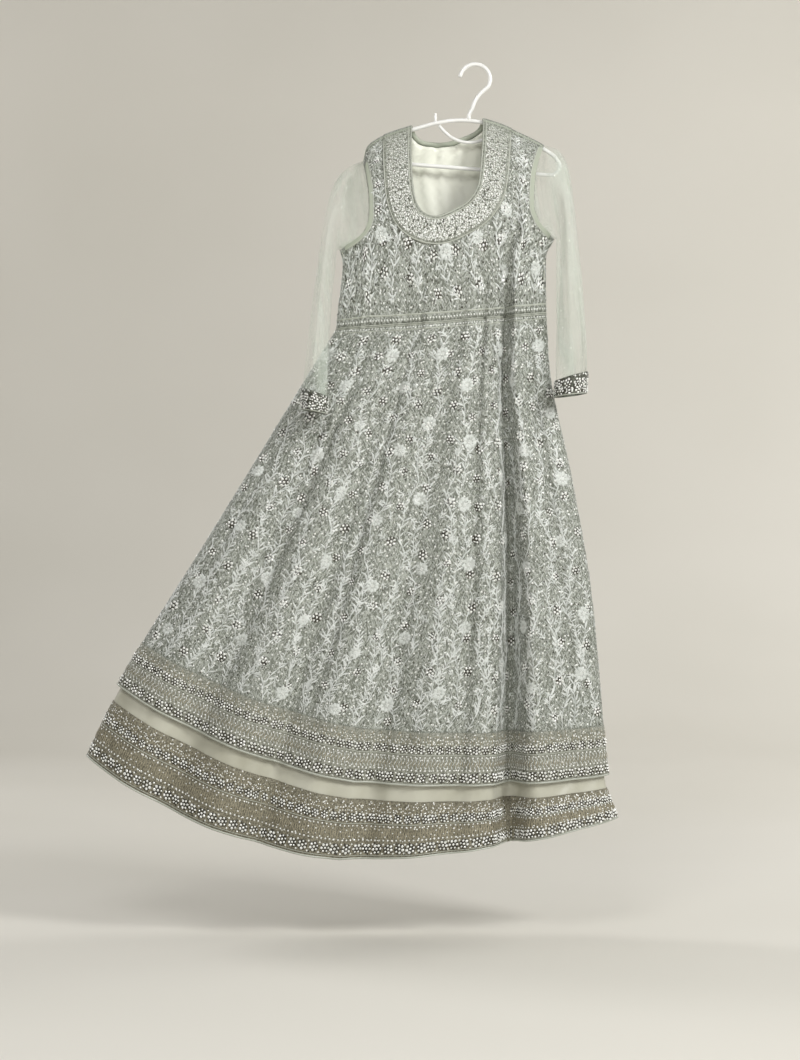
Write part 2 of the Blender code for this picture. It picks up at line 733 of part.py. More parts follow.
# Sleeves


def armhole_ring(flip):
    """The sleeve's first ring, just off the bodice's armhole, and the bodice's normals there."""
    line = armhole_line(flip)
    reach = Vector((flip * ARMHOLE_WAY[0], 0, ARMHOLE_WAY[1])) * ARMHOLE_GAP
    underarm = Vector((flip * UNDERARM_WAY[0], 0, UNDERARM_WAY[1]))
    ring = []
    for k in range(SLEEVE_SIDES):
        if k == 0:
            place, normal = Vector((line[0][0], 0, line[0][1])), Vector((0, 0, 1))
        elif k == SLEEVE_HALF:
            place, normal = Vector((line[-1][0], 0, line[-1][1])), underarm
        else:
            side = -1 if k < SLEEVE_HALF else 1
            turn, level = bodice_address(*line[min(k, SLEEVE_SIDES - k)])
            place, normal = surface(side, turn, level), outward(side, turn, level)
        ring.append((place + reach, normal))
    return ring


def sleeve_points(stations, first):
    table = columns_of(stations)
    points, offsets = [], []
    for along in SLEEVE_RINGS:
        at = {name: table[name](along) for name in table}
        outer = Vector((at["outer_x"], -at["forward"], at["outer_z"]))
        inner = Vector((at["inner_x"], -at["forward"], at["inner_z"]))
        settled = smoothstep(along / SLEEVE_CAP)
        for k in range(SLEEVE_SIDES):
            near = min(k, SLEEVE_SIDES - k)
            angle = math.pi * ARMHOLE_SHARES[near] ** SLEEVE_ROUNDING * (1 if k == near else -1)
            wave = math.sin(RIPPLES * angle + RIPPLE_START)
            ripple = SLEEVE_RIPPLE * settled * wave * (1 - RIPPLE_FADE * along)
            size = 1 + ripple / at["depth"]
            place = (outer + inner) / 2 + (outer - inner) / 2 * math.cos(angle) * size
            place.y -= at["depth"] * math.sin(angle) * size
            if along == 0:
                offsets.append(first[k][0] - place)
            low = (1 - math.cos(angle)) / 2
            cap = SLEEVE_CAP * (1 - UNDERARM_SOONER * low)
            points.append(place + offsets[k] * (1 - smoothstep(along / cap)))
    return points


def grid_normals(points, rows, columns, flip):
    normals = []
    for r in range(rows):
        for c in range(columns):
            up, down = max(r - 1, 0), min(r + 1, rows - 1)
            along = points[down * columns + c] - points[up * columns + c]
            round_it = points[r * columns + (c + 1) % columns] - points[r * columns + (c - 1) % columns]
            normals.append((round_it.cross(along) * flip).normalized())
    return normals


def sleeve_half(points, side):
    """The sleeve's points, with those on its top and underarm lines set half a gap to one side."""
    moved = []
    for v, point in enumerate(points):
        on_line = v % SLEEVE_SIDES in (0, SLEEVE_HALF)
        moved.append(point + Vector((0, side * SEAM_GAP / 2, 0)) if on_line else point)
    return moved


def add_sleeve(word, stations, flip):
    """One sleeve, as a front and a back half that just clear each other, and its cuff band."""
    first = armhole_ring(flip)
    points = sleeve_points(stations, first)
    normals = grid_normals(points, len(SLEEVE_RINGS), SLEEVE_SIDES, flip)
    normals[:SLEEVE_SIDES] = [normal for _, normal in first]
    faces = grid_faces(len(SLEEVE_RINGS), SLEEVE_SIDES, closed=True)
    cloth = Cloth(points, normals, faces, 0)
    for half, side in (("front", -1), ("back", 1)):
        near = [f for i, f in enumerate(faces) if (i % SLEEVE_SIDES < SLEEVE_HALF) == (side < 0)]
        part = Cloth(sleeve_half(points, side), normals, near, 0)
        add_wall(f"sleeve_{word}_{half}", part, near, 0.0, -SLEEVE_WALL, SHEER_NET)
    start = SLEEVE_RINGS.index(CUFF_START) * SLEEVE_SIDES
    cuff = [f for f in faces if min(f) >= start]
    add_wall(f"cuff_{word}", cloth, cuff, SEAM_GAP + BORDER_WALL, SEAM_GAP, BEADWORK)


# Hanger


def add_tube(name, points, radius, cyclic=False):
    """A closed round tube through the points."""
    curve = bpy.data.curves.new(name, "CURVE")
    curve.dimensions = "3D"
    curve.bevel_depth = radius
    curve.bevel_resolution = 2
    curve.use_fill_caps = not cyclic
    spline = curve.splines.new("POLY")
    spline.points.add(len(points) - 1)
    for spot, point in zip(spline.points, points):
        spot.co = (*point, 1.0)
    spline.use_cyclic_u = cyclic
    guide = bpy.data.objects.new(name + "_line", curve)
    bpy.context.scene.collection.objects.link(guide)
    bpy.context.view_layer.update()
    data = bpy.data.meshes.new_from_object(guide.evaluated_get(bpy.context.evaluated_depsgraph_get()))
    bpy.data.objects.remove(guide, do_unlink=True)
    mesh = bmesh.new()
    mesh.from_mesh(data)
    bpy.data.meshes.remove(data)
    bmesh.ops.remove_doubles(mesh, verts=mesh.verts[:], dist=WELD_DISTANCE)
    finish_mesh(name, mesh, WHITE_PLASTIC)


def frame_line():
    """The hanger's frame: both arms, the round ends and the bar, as one closed line."""
    outs = smooth_through(range(len(HANGER_ARM)), [a.out for a in HANGER_ARM])
    drops = smooth_through(range(len(HANGER_ARM)), [a.drop for a in HANGER_ARM])
    last = len(HANGER_ARM) - 1
    arm = [(outs(i / 2), drops(i / 2)) for i in range(2 * last + 1)]
    radius = HANGER_END_RADIUS
    for i in range(HANGER_END_STEPS + 1):
        angle = HANGER_END_START - (HANGER_END_START + math.pi / 2) * i / HANGER_END_STEPS
        out = HANGER_END_OUT + radius * math.cos(angle)
        arm.append((out, HANGER_BAR_DROP - radius - radius * math.sin(angle)))
    bar = [(out, HANGER_BAR_DROP) for out in HANGER_BAR_POINTS]
    half = arm + bar
    other = [(-out, drop) for out, drop in reversed(half[1:-1])]
    return [hanger_point(out, drop) for out, drop in half + other]


def hook_line():
    """The hook from just over the frame, round the rail to its tip."""
    middle = Vector((0, 0, TUBE_RADIUS - HOOK_RADIUS))
    line = [hanger_point(0.0, -TUBE_RADIUS - SEAM_GAP), hanger_point(0.0, -HOOK_FOOT_RISE)]
    line += [Vector((p.x, 0, p.z)) for p in HOOK_STEM]
    for i in range(HOOK_STEPS + 1):
        angle = HOOK_START + (HOOK_END - HOOK_START) * i / HOOK_STEPS
        line.append(middle + Vector((math.cos(angle), 0, math.sin(angle))) * HOOK_RADIUS)
    return line


def brace_line():
    """The curved brace under the hook, from arm to arm, its ends just under them."""
    points = []
    for i in range(BRACE_STEPS + 1):
        u = 2 * i / BRACE_STEPS - 1
        drop = BRACE_START + (BRACE_DROP - BRACE_START) * (1 - abs(u) ** BRACE_SHAPE)
        points.append(hanger_point(BRACE_HALF * u, drop))
    return points


def add_hanger():
    add_tube("hanger_frame", frame_line(), TUBE_RADIUS, cyclic=True)
    add_tube("hanger_hook", hook_line(), TUBE_RADIUS)
    add_tube("hanger_brace", brace_line(), BRACE_RADIUS)


clear_scene()
dress = bpy.data.collections.new("maxi_dress")
bpy.context.scene.collection.children.link(dress)

add_bodice(-1, "front", FRONT_NECK, [NECK_BORDER_WIDTH])
back = add_bodice(1, "back", BACK_NECK, [BACK_NECK_BORDER_WIDTH, NECK_FACING_WIDTH])
add_lining(*back)
add_skirt(-1, "front")
add_skirt(1, "back")
add_sleeve("right", RIGHT_SLEEVE, 1)
add_sleeve("left", LEFT_SLEEVE, -1)
add_hanger()
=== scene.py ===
import math
from collections import namedtuple

import bmesh
import bpy
import numpy as np
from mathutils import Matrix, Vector
from mathutils.geometry import delaunay_2d_cdt


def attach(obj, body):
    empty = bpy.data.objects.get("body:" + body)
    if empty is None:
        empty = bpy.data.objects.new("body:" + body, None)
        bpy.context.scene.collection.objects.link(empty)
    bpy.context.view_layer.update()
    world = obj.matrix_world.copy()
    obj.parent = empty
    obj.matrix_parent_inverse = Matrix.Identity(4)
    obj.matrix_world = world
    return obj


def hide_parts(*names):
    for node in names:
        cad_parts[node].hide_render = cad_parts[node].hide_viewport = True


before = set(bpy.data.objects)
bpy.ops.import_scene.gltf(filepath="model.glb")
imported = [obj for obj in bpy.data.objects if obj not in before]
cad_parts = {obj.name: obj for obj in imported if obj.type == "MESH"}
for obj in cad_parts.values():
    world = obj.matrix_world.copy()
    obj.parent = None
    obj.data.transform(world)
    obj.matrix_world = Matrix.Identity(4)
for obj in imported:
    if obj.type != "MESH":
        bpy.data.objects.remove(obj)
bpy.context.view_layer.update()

# An embroidered maxi dress on a tube hanger. The dress's form repeats the solids': its surface is
# addressed by a turn, from 0 at the left side seam to pi at the right one, and a level, from -1 at the
# shoulder line through 0 at the waist to 1 at the dress's hem and UNDER_HEM_LEVEL at the underskirt's.

# Sizes of the solids, in metres
SEAM_GAP = 0.0003
NET_WALL = 0.0016
SLEEVE_WALL = 0.0012
SATIN_WALL = 0.0012
LINING_WALL = 0.0010
BORDER_WALL = 0.0012
UNDER_HEM_LEVEL = 1.163
UNDERSKIRT_TOP = 0.010
UNDERSKIRT_TUCK = 0.0024
UNDERSKIRT_HANG = 0.0085
TUBE_RADIUS = 0.0042
HANGER_TILT = math.radians(4.5)
HANGER_CENTRE = np.array([-0.0135, 0.0, -0.1142])
HANGER_BAR_DROP = 0.101
HANGER_END_RADIUS = 0.0185
HANGER_END_OUT = 0.1795
HANGER_END_START = math.radians(52)
HOOK_RADIUS = 0.0318
HOOK_START = math.radians(-28)
HOOK_END = math.radians(172)
BRACE_RADIUS = 0.0034
BRACE_HALF = 0.061
BRACE_START = 0.0152
BRACE_DROP = 0.046
BRACE_SHAPE = 2.2
SHOULDER_RISE = TUBE_RADIUS + 0.0024 + NET_WALL
SHOULDER_WRAP = 0.0105
NECK_BORDER_WIDTH = 0.060
BACK_NECK_BORDER_WIDTH = 0.030
NECK_FACING_WIDTH = 0.011
RIGHT_HALF_LIFT = 0.014
NECK_RIGHT_X = 0.0162
NECK_LEFT_X = -0.1319
RIGHT_TIP_X = 0.1453
LEFT_TIP_X = -0.2350
HEM_BORDER_START = 0.885
UNDER_BORDER_START = 1.035
FACING_START = -0.96
LINING_START = -0.86
CUFF_START = 0.915
SLEEVE_RIPPLE = 0.0022
SLEEVE_CAP = 0.20
BORDER_TOP = SEAM_GAP + BORDER_WALL

# Sizes that only the scene has
SLEEVE_CREASE = 0.0009
LINING_FOLD = 0.0034
ARMHOLE_STRIP = 0.010
SHOULDER_STRIP = 0.013
STRIP_HEIGHT = 0.0007
CUFF_RINGS = 9
LEAF_RIB = 0.0013
LEAF_WIDTH, LEAF_WIDENING = 0.0013, 0.12
ROSETTE_BEADS = 6
BLOSSOM_PETALS = 9
BLOSSOM_BEADS = 4
CREASE_COUNT, CREASE_HEIGHT, CREASE_TOP, CREASE_END = 46, 0.0032, -0.35, 1.0
TUBE_DETAIL = 6
FIELD_COLUMNS = 420
PEG_OUT, PEG_DROP, PEG_HEIGHT, PEG_RADIUS = 0.0690, 0.0112, 0.0210, 0.0030
FLOOR_Z, WALL_Y, COVE, ROOM_REACH = -1.82, 7.0, 3.0, 12.0
CAMERA_AWAY, VIEW_HEIGHT, VIEW_CENTRE = 5.0, 2.226, (-0.1575, -0.974)
SKY_COLOUR, SKY_STRENGTH = (1.0, 0.99, 0.965, 1.0), 0.28

# Seeds of the random draws
CREASE_SEEDS = {"front": 3, "back": 5}
BODICE_SEEDS = {"front": 41, "back": 42}
SKIRT_SEEDS = {"front": 21, "back": 22}
HEM_SEEDS = {"front": 11, "back": 12}
UNDER_HEM_SEEDS = {"front": 13, "back": 14}
SLEEVE_SEED, CUFF_SEED = 31, 7

Arm = namedtuple("Arm", "out drop")
HANGER_ARM = [
    Arm(0.000, 0.000),
    Arm(0.020, 0.0010),
    Arm(0.040, 0.0040),
    Arm(0.070, 0.0115),
    Arm(0.103, 0.0235),
    Arm(0.138, 0.0370),
    Arm(0.166, 0.0495),
    Arm(0.186, 0.0610),
]
Point = namedtuple("Point", "x z")
HOOK_STEM = [Point(-0.0055, -0.0880), Point(0.0000, -0.0730), Point(0.0115, -0.0575)]

Edge = namedtuple("Edge", "rise left right front back")
BODICE_EDGES = [
    Edge(0.00, -0.2915, 0.1495, 0.043, 0.039),
    Edge(0.20, -0.2863, 0.1486, 0.049, 0.044),
    Edge(0.36, -0.2800, 0.1505, 0.055, 0.049),
    Edge(0.45, -0.2772, 0.1663, 0.058, 0.053),
    Edge(0.49, -0.2768, 0.1680, 0.059, 0.054),
    Edge(0.53, -0.2785, 0.1690, 0.059, 0.055),
    Edge(0.60, -0.2835, 0.1700, 0.060, 0.056),
    Edge(0.75, -0.2850, 0.1715, 0.060, 0.057),
    Edge(1.00, -0.2850, 0.1720, 0.060, 0.057),
]
Row = namedtuple("Row", "level left_x left_z mid_x mid_z right_x right_z front back")
SKIRT_ROWS = [
    Row(0.000, -0.2915, -0.5531, -0.0710, -0.5405, 0.1495, -0.5195, 0.043, 0.039),
    Row(0.150, -0.3603, -0.6644, -0.0985, -0.6835, 0.1600, -0.6600, 0.050, 0.046),
    Row(0.350, -0.4521, -0.8142, -0.1350, -0.8740, 0.2020, -0.8577, 0.062, 0.056),
    Row(0.600, -0.5668, -1.0004, -0.1806, -1.1118, 0.2440, -1.1012, 0.079, 0.070),
    Row(1.000, -0.7503, -1.2986, -0.2537, -1.4931, 0.2797, -1.4877, 0.106, 0.092),
    Row(UNDER_HEM_LEVEL, -0.8144, -1.4478, -0.2831, -1.6514, 0.2986, -1.5779, 0.116, 0.100),
]
Fold = namedtuple("Fold", "across half_width height starts")
FRONT_FOLDS = [
    Fold(-0.84, 0.10, 0.010, 0.10),
    Fold(-0.68, 0.10, -0.016, 0.00),
    Fold(-0.49, 0.13, 0.017, -0.20),
    Fold(-0.31, 0.08, -0.021, 0.05),
    Fold(-0.13, 0.12, 0.016, -0.30),
    Fold(0.07, 0.09, -0.017, 0.00),
    Fold(0.26, 0.12, 0.015, -0.35),
    Fold(0.47, 0.08, 0.010, 0.10),
    Fold(0.615, 0.075, -0.042, -0.80),
    Fold(0.76, 0.08, 0.014, -0.20),
]
BACK_FOLDS = [
    Fold(-0.78, 0.12, 0.012, 0.05),
    Fold(-0.56, 0.10, -0.019, -0.10),
    Fold(-0.36, 0.11, 0.015, 0.10),
    Fold(-0.14, 0.09, -0.016, 0.00),
    Fold(0.08, 0.13, 0.018, -0.25),
    Fold(0.30, 0.09, -0.020, 0.05),
    Fold(0.52, 0.11, 0.014, -0.10),
    Fold(0.72, 0.09, -0.013, 0.15),
]
FRONT_NECK = [
    Point(0.0151, -0.1478),
    Point(0.0130, -0.1814),
    Point(0.0067, -0.2444),
    Point(-0.0045, -0.2765),
    Point(-0.0240, -0.2950),
    Point(-0.0531, -0.3108),
    Point(-0.0810, -0.3205),
    Point(-0.1040, -0.3170),
    Point(-0.1220, -0.2930),
    Point(-0.1300, -0.2500),
    Point(-0.1330, -0.2000),
    Point(-0.1330, -0.1600),
]
BACK_NECK = [
    Point(0.0060, -0.1290),
    Point(-0.0120, -0.1400),
    Point(-0.0542, -0.1541),
    Point(-0.0900, -0.1560),
    Point(-0.1180, -0.1480),
]
RIGHT_ARMHOLE = [
    Point(0.1327, -0.2024),
    Point(0.1254, -0.2381),
    Point(0.1235, -0.2990),
    Point(0.1310, -0.3243),
    Point(0.1432, -0.3431),
    Point(0.1663, -0.3641),
]
LEFT_ARMHOLE = [
    Point(-0.2280, -0.2362),
    Point(-0.2235, -0.2700),
    Point(-0.2240, -0.3270),
    Point(-0.2330, -0.3500),
    Point(-0.2520, -0.3690),
    Point(-0.2835, -0.3872),
]
SHOULDER_DROOP = [Point(-0.2785, -0.2700), Point(-0.2350, -0.1995), Point(-0.2285, -0.1725)]
SHOULDER_END = Point(0.1850, -0.1860)
Station = namedtuple("Station", "along outer_x outer_z inner_x inner_z depth forward")
RIGHT_SLEEVE = [
    Station(0.00, 0.1453, -0.1646, 0.1663, -0.3641, 0.030, 0.000),
    Station(0.04, 0.1610, -0.1700, 0.1702, -0.3635, 0.036, 0.001),
    Station(0.08, 0.1770, -0.1810, 0.1716, -0.3730, 0.041, 0.002),
    Station(0.16, 0.1930, -0.2140, 0.1705, -0.4020, 0.047, 0.005),
    Station(0.30, 0.2040, -0.2740, 0.1700, -0.4450, 0.053, 0.010),
    Station(0.50, 0.2165, -0.3900, 0.1685, -0.5110, 0.055, 0.020),
    Station(0.70, 0.2260, -0.5150, 0.1675, -0.5830, 0.051, 0.030),
    Station(0.88, 0.2318, -0.6240, 0.1665, -0.6500, 0.044, 0.039),
    Station(1.00, 0.2290, -0.6900, 0.1640, -0.6985, 0.041, 0.043),
]
LEFT_SLEEVE = [
    Station(0.00, -0.2350, -0.1995, -0.2835, -0.3872, 0.030, 0.000),
    Station(0.04, -0.2540, -0.2070, -0.2885, -0.3865, 0.035, 0.002),
    Station(0.08, -0.2720, -0.2200, -0.2910, -0.3960, 0.039, 0.006),
    Station(0.16, -0.2960, -0.2560, -0.2925, -0.4230, 0.043, 0.015),
    Station(0.30, -0.3130, -0.3220, -0.2970, -0.4680, 0.047, 0.034),
    Station(0.50, -0.3290, -0.4370, -0.3010, -0.5380, 0.046, 0.060),
    Station(0.70, -0.3440, -0.5560, -0.3030, -0.6150, 0.042, 0.079),
    Station(0.88, -0.3560, -0.6620, -0.3060, -0.6850, 0.038, 0.089),
    Station(1.00, -0.3600, -0.7260, -0.3080, -0.7360, 0.036, 0.094),
]
ARMHOLE_SHARES = [0.0, 0.02, 0.055, 0.11, 0.20, 0.32, 0.46, 0.62, 0.80, 1.0]
FOLDS = {"front": FRONT_FOLDS, "back": BACK_FOLDS}

Cut = namedtuple("Cut", "width length area rests_on")

SIDES = {"front": -1, "back": 1}


# The dress's form


def smooth_through(xs, ys):
    """A smooth curve through the points, as a function of an array, straight past its ends."""
    xs, ys = np.array(xs, float), np.array(ys, float)
    low = np.maximum(np.arange(len(xs)) - 1, 0)
    high = np.minimum(np.arange(len(xs)) + 1, len(xs) - 1)
    slopes = (ys[high] - ys[low]) / (xs[high] - xs[low])

    def at(x):
        x = np.asarray(x, float)
        i = np.clip(np.searchsorted(xs, x, side="right") - 1, 0, len(xs) - 2)
        step = xs[i + 1] - xs[i]
        u = np.clip((x - xs[i]) / step, 0, 1)
        value = (1 + 2 * u) * (1 - u) ** 2 * ys[i] + u * (1 - u) ** 2 * step * slopes[i]
        value += u * u * (3 - 2 * u) * ys[i + 1] + u * u * (u - 1) * step * slopes[i + 1]
        value += np.minimum(x - xs[0], 0) * slopes[0] + np.maximum(x - xs[-1], 0) * slopes[-1]
        return value

    return at


def columns_of(rows):
    """Smooth curves through a table's columns, as functions of its first column."""
    keys = [row[0] for row in rows]
    return {
        name: smooth_through(keys, [getattr(row, name) for row in rows])
        for name in rows[0]._fields[1:]
    }


def smoothstep(x):
    x = np.clip(x, 0.0, 1.0)
    return x * x * (3 - 2 * x)


def hump(off):
    """A smooth rise and fall from -1 to 1, 1 high at 0."""
    return np.where(np.abs(off) < 1, (1 + np.cos(math.pi * off)) / 2, 0.0)


def unit(vectors):
    return vectors / np.linalg.norm(vectors, axis=-1, keepdims=True)


def reach_along(points):
    """How far along a line of points each one is."""
    steps = np.linalg.norm(np.diff(np.asarray(points, float), axis=0), axis=1)
    return np.concatenate([[0.0], np.cumsum(steps)])


def sampled(points, shares):
    """Places on the smooth line through points, at those shares of its length."""
    points = np.array(points, float)
    reach = reach_along(points)
    at = np.array(shares) * reach[-1]
    return np.stack([smooth_through(reach, column)(at) for column in points.T], axis=1)


def hanger_point(out, drop):
    """A place on the tilted hanger, from its middle: out to the right, and down."""
    x = out * math.cos(HANGER_TILT) - drop * math.sin(HANGER_TILT)
    z = -out * math.sin(HANGER_TILT) - drop * math.cos(HANGER_TILT)
    return HANGER_CENTRE + np.array([x, 0, z])


def shoulder_line():
    """The shoulder line's height at each x: over the hanger's arms and down past their ends."""
    arm = [hanger_point(-a.out, a.drop) for a in reversed(HANGER_ARM)]
    arm += [hanger_point(a.out, a.drop) for a in HANGER_ARM[1:]]
    line = [(p.x, p.z) for p in SHOULDER_DROOP]
    for i, here in enumerate(arm[:-1]):
        along = arm[i + 1] - arm[max(i - 1, 0)]
        over = np.array([-along[2], 0, along[0]]) / np.linalg.norm(along) * SHOULDER_RISE
        line.append((here[0] + over[0], here[2] + over[2]))
    line.append((SHOULDER_END.x, SHOULDER_END.z))
    return smooth_through([p[0] for p in line], [p[1] for p in line])


SHOULDER_Z = shoulder_line()
BODICE = columns_of(BODICE_EDGES)
SKIRT = columns_of(SKIRT_ROWS)


def skirt_row(s, level):
    """Flat place on a skirt row at s, from -1 at the left seam to 1 at the right one."""
    row = {name: SKIRT[name](level) for name in SKIRT}
    x = row["mid_x"] + (row["right_x"] - row["left_x"]) / 2 * s
    x += ((row["right_x"] + row["left_x"]) / 2 - row["mid_x"]) * s * s
    z = row["mid_z"] + (row["right_z"] - row["left_z"]) / 2 * s
    z += ((row["right_z"] + row["left_z"]) / 2 - row["mid_z"]) * s * s
    z += np.where((s > 0) & (level > 0), RIGHT_HALF_LIFT * level * 4 * s * (1 - s), 0.0)
    return x, z


def bodice_flat(s, level):
    """Flat place on the bodice at s and a level, and how far up from the waist it is, 0 to 1."""
    rise = np.cos(math.pi / 2 * (1 + level))
    left, right = BODICE["left"](rise), BODICE["right"](rise)
    x = (left + right) / 2 + (right - left) / 2 * s
    low = skirt_row(s, np.zeros_like(s))[1]
    return x, low + (SHOULDER_Z(x) - low) * rise, rise


def fold_height(folds, s, level):
    """Height of the large folds, which grow from where they start down to the hem."""
    total = np.zeros_like(s)
    for fold in folds:
        grown = smoothstep((level - fold.starts) / (1.0 - fold.starts)) ** 0.8
        total += fold.height * grown * hump((s - fold.across) / fold.half_width)
    return total


Crease = namedtuple("Crease", "across half_width height top bottom lean")


def loose_creases(seed):
    """Small uneven creases of the cloth: soft troughs and ridges, a few at each height."""
    rng = np.random.default_rng(seed)
    made = []
    for _ in range(CREASE_COUNT):
        top = rng.uniform(CREASE_TOP, CREASE_END - 0.15)
        bottom = min(top + rng.uniform(0.25, 0.7), CREASE_END + 0.2)
        height = rng.uniform(0.4, 1.0) * CREASE_HEIGHT * rng.choice([-1, 1])
        across, half_width = rng.uniform(-0.93, 0.93), rng.uniform(0.018, 0.045)
        made.append(Crease(across, half_width, height, top, bottom, rng.uniform(-0.05, 0.05)))
    return made


MAIN_CREASES = {
    "front": [
        Crease(0.600, 0.065, -0.022, 0.25, 1.50, 0.02),
        Crease(0.700, 0.050, 0.014, -0.40, 1.28, 0.01),
        Crease(0.845, 0.040, -0.007, -0.30, 1.20, 0.02),
        Crease(0.400, 0.045, -0.007, -0.25, 1.15, 0.02),
        Crease(-0.220, 0.050, -0.007, -0.10, 1.20, -0.02),
        Crease(-0.600, 0.045, -0.006, 0.00, 1.20, -0.03),
    ],
    "back": [
        Crease(-0.450, 0.055, -0.010, -0.20, 1.20, -0.02),
        Crease(-0.345, 0.050, 0.011, 0.05, 1.25, -0.01),
        Crease(0.200, 0.050, -0.010, -0.10, 1.15, 0.02),
        Crease(0.305, 0.055, 0.012, 0.10, 1.30, 0.02),
        Crease(0.620, 0.050, -0.010, -0.30, 1.25, 0.02),
        Crease(0.725, 0.045, 0.010, 0.00, 1.20, 0.01),
        Crease(-0.740, 0.050, 0.010, 0.15, 1.30, -0.02),
        Crease(-0.080, 0.060, 0.008, 0.20, 1.25, -0.01),
    ],
}
CREASES = {word: MAIN_CREASES[word] + loose_creases(seed) for word, seed in CREASE_SEEDS.items()}


def crease_height(creases, s, level):
    """Height of the creases, each deepest halfway down its own length."""
    total = np.zeros_like(s)
    for c in creases:
        share = (level - c.top) / (c.bottom - c.top)
        grown = np.clip(share * (1 - share) * 4, 0, 1) ** 0.7
        total += c.height * grown * hump((s - c.across - c.lean * share) / c.half_width)
    return total


def dress_surface(word, turn, level):
    """Points of the dress's outer surface for arrays of turns and levels."""
    s, bulge = -np.cos(turn), np.sin(turn)
    upper = level <= 0
    body, down = np.minimum(level, 0.0), np.maximum(level, 0.0)
    bx, bz, rise = bodice_flat(s, body)
    share = np.sin(math.pi / 2 * (1 + body))
    full = BODICE[word](rise) * share * bulge
    drop = SHOULDER_Z(bx) - bz
    reach = np.minimum(drop, SHOULDER_WRAP)
    wrap = np.sqrt(np.maximum(SHOULDER_WRAP ** 2 - (SHOULDER_WRAP - reach) ** 2, 0.0))
    wrap *= smoothstep(bulge / 0.35) * (1 - smoothstep((drop - 0.03) / 0.10))
    out = np.sign(bulge) * (np.abs(full) ** 3 + wrap ** 3) ** (1 / 3)
    sx, sz = skirt_row(s, down)
    y = np.where(upper, out, SKIRT[word](down) * bulge)
    height = fold_height(FOLDS[word], s, level)
    height = height + crease_height(CREASES[word], s, level) * np.clip(bulge * 3, 0, 1)
    y = y + height * np.where(upper, share, 1.0)
    return np.stack([np.where(upper, bx, sx), SIDES[word] * y, np.where(upper, bz, sz)], axis=-1)


def dress_normals(word, turn, level):
    """Outward normals there. The step up is left out at the shoulder line and across the waist."""
    step = 1e-3
    low = np.where(level <= -1 + step, level, np.where(np.abs(level - step) < step, level, level - step))
    across = dress_surface(word, turn + step, level) - dress_surface(word, turn - step, level)
    down = dress_surface(word, turn, level + step) - dress_surface(word, turn, low)
    return unit(np.cross(across, down) * SIDES[word])


def bodice_address(flat_points):
    """Turns and levels of flat places on the bodice."""
    x, z = np.asarray(flat_points, float).T
    rise = np.full_like(x, 0.5)
    for _ in range(40):
        left, right = BODICE["left"](rise), BODICE["right"](rise)
        s = np.clip((x - (left + right) / 2) / ((right - left) / 2), -1.0, 1.0)
        low = skirt_row(s, np.zeros_like(s))[1]
        rise = np.clip((z - low) / (SHOULDER_Z(x) - low), 0.0, 1.0)
    return np.arccos(-s), np.arccos(rise) / (math.pi / 2) - 1


# Cloth as a map, so that stitches can be laid on it


class Field:
    """A stretch of cloth as a fine grid of points: across it from 0 to 1, and down it from 0 to 1."""

    def __init__(self, points, normals, turns=None, levels=None):
        self.points, self.normals = points, normals
        self.turns, self.levels = turns, levels
        self.tall = None
        self.rows, self.columns = points.shape[:2]
        self.widths = np.linalg.norm(np.diff(points, axis=1), axis=2).sum(axis=1)
        self.lengths = np.linalg.norm(np.diff(points, axis=0), axis=2).sum(axis=0)

    def width(self, down):
        return np.interp(down, np.linspace(0, 1, self.rows), self.widths)

    def length(self, across):
        return np.interp(across, np.linspace(0, 1, self.columns), self.lengths)

    def up(self, height, across):
        """How far down a height over the lower edge is, on a stretch that counts as that tall."""
        return 1 - height / (self.tall or self.length(across)) * np.ones_like(across)

    def spot(self, turns, levels):
        """The across and down of places given by turn and level."""
        down = (levels - self.levels[0]) / (self.levels[-1] - self.levels[0])
        rows = np.clip(np.rint(down * (self.rows - 1)).astype(int), 0, self.rows - 1)
        even = np.linspace(0, 1, self.columns)
        across = [np.interp(turn, self.turns[row], even) for turn, row in zip(turns, rows)]
        return np.array(across), down

    def address(self, across, down):
        """The turn and level of places given by across and down."""
        rows = np.clip((down * (self.rows - 1)).astype(int), 0, self.rows - 1)
        even = np.linspace(0, 1, self.columns)
        turns = np.array([np.interp(a, even, self.turns[row]) for a, row in zip(across, rows)])
        return turns, self.levels[0] + down * (self.levels[-1] - self.levels[0])

    def read(self, grid, across, down):
        """The grid's value between its points."""
        c = np.clip(across, 0, 1) * (self.columns - 1)
        r = np.clip(down, 0, 1) * (self.rows - 1)
        c0 = np.minimum(c.astype(int), self.columns - 2)
        r0 = np.minimum(r.astype(int), self.rows - 2)
        fc, fr = (c - c0)[..., None], (r - r0)[..., None]
        top = grid[r0, c0] * (1 - fc) + grid[r0, c0 + 1] * fc
        low = grid[r0 + 1, c0] * (1 - fc) + grid[r0 + 1, c0 + 1] * fc
        return top * (1 - fr) + low * fr

    def place(self, across, down, height):
        normal = unit(self.read(self.normals, across, down))
        return self.read(self.points, across, down) + normal * np.asarray(height)[..., None]


def dress_field(word, low, high, columns, rows, inset=None, out=0.0):
    """The cloth between two levels as a field, whose columns are even lengths of cloth apart."""
    turns = np.linspace(0.004, math.pi - 0.004, 3 * columns)
    levels = np.linspace(low, high, rows)
    turn_grid = np.zeros((rows, columns))
    for r, level in enumerate(levels):
        reach = reach_along(dress_surface(word, turns, np.full_like(turns, level)))
        turn_grid[r] = np.interp(np.linspace(0, reach[-1], columns), reach, turns)
    level_grid = np.repeat(levels[:, None], columns, axis=1)
    points = dress_surface(word, turn_grid, level_grid)
    normals = dress_normals(word, turn_grid, level_grid)
    if inset is not None:
        points = points - normals * inset(level_grid)[..., None]
    return Field(points + normals * out, normals, turn_grid, levels)


# Meshes


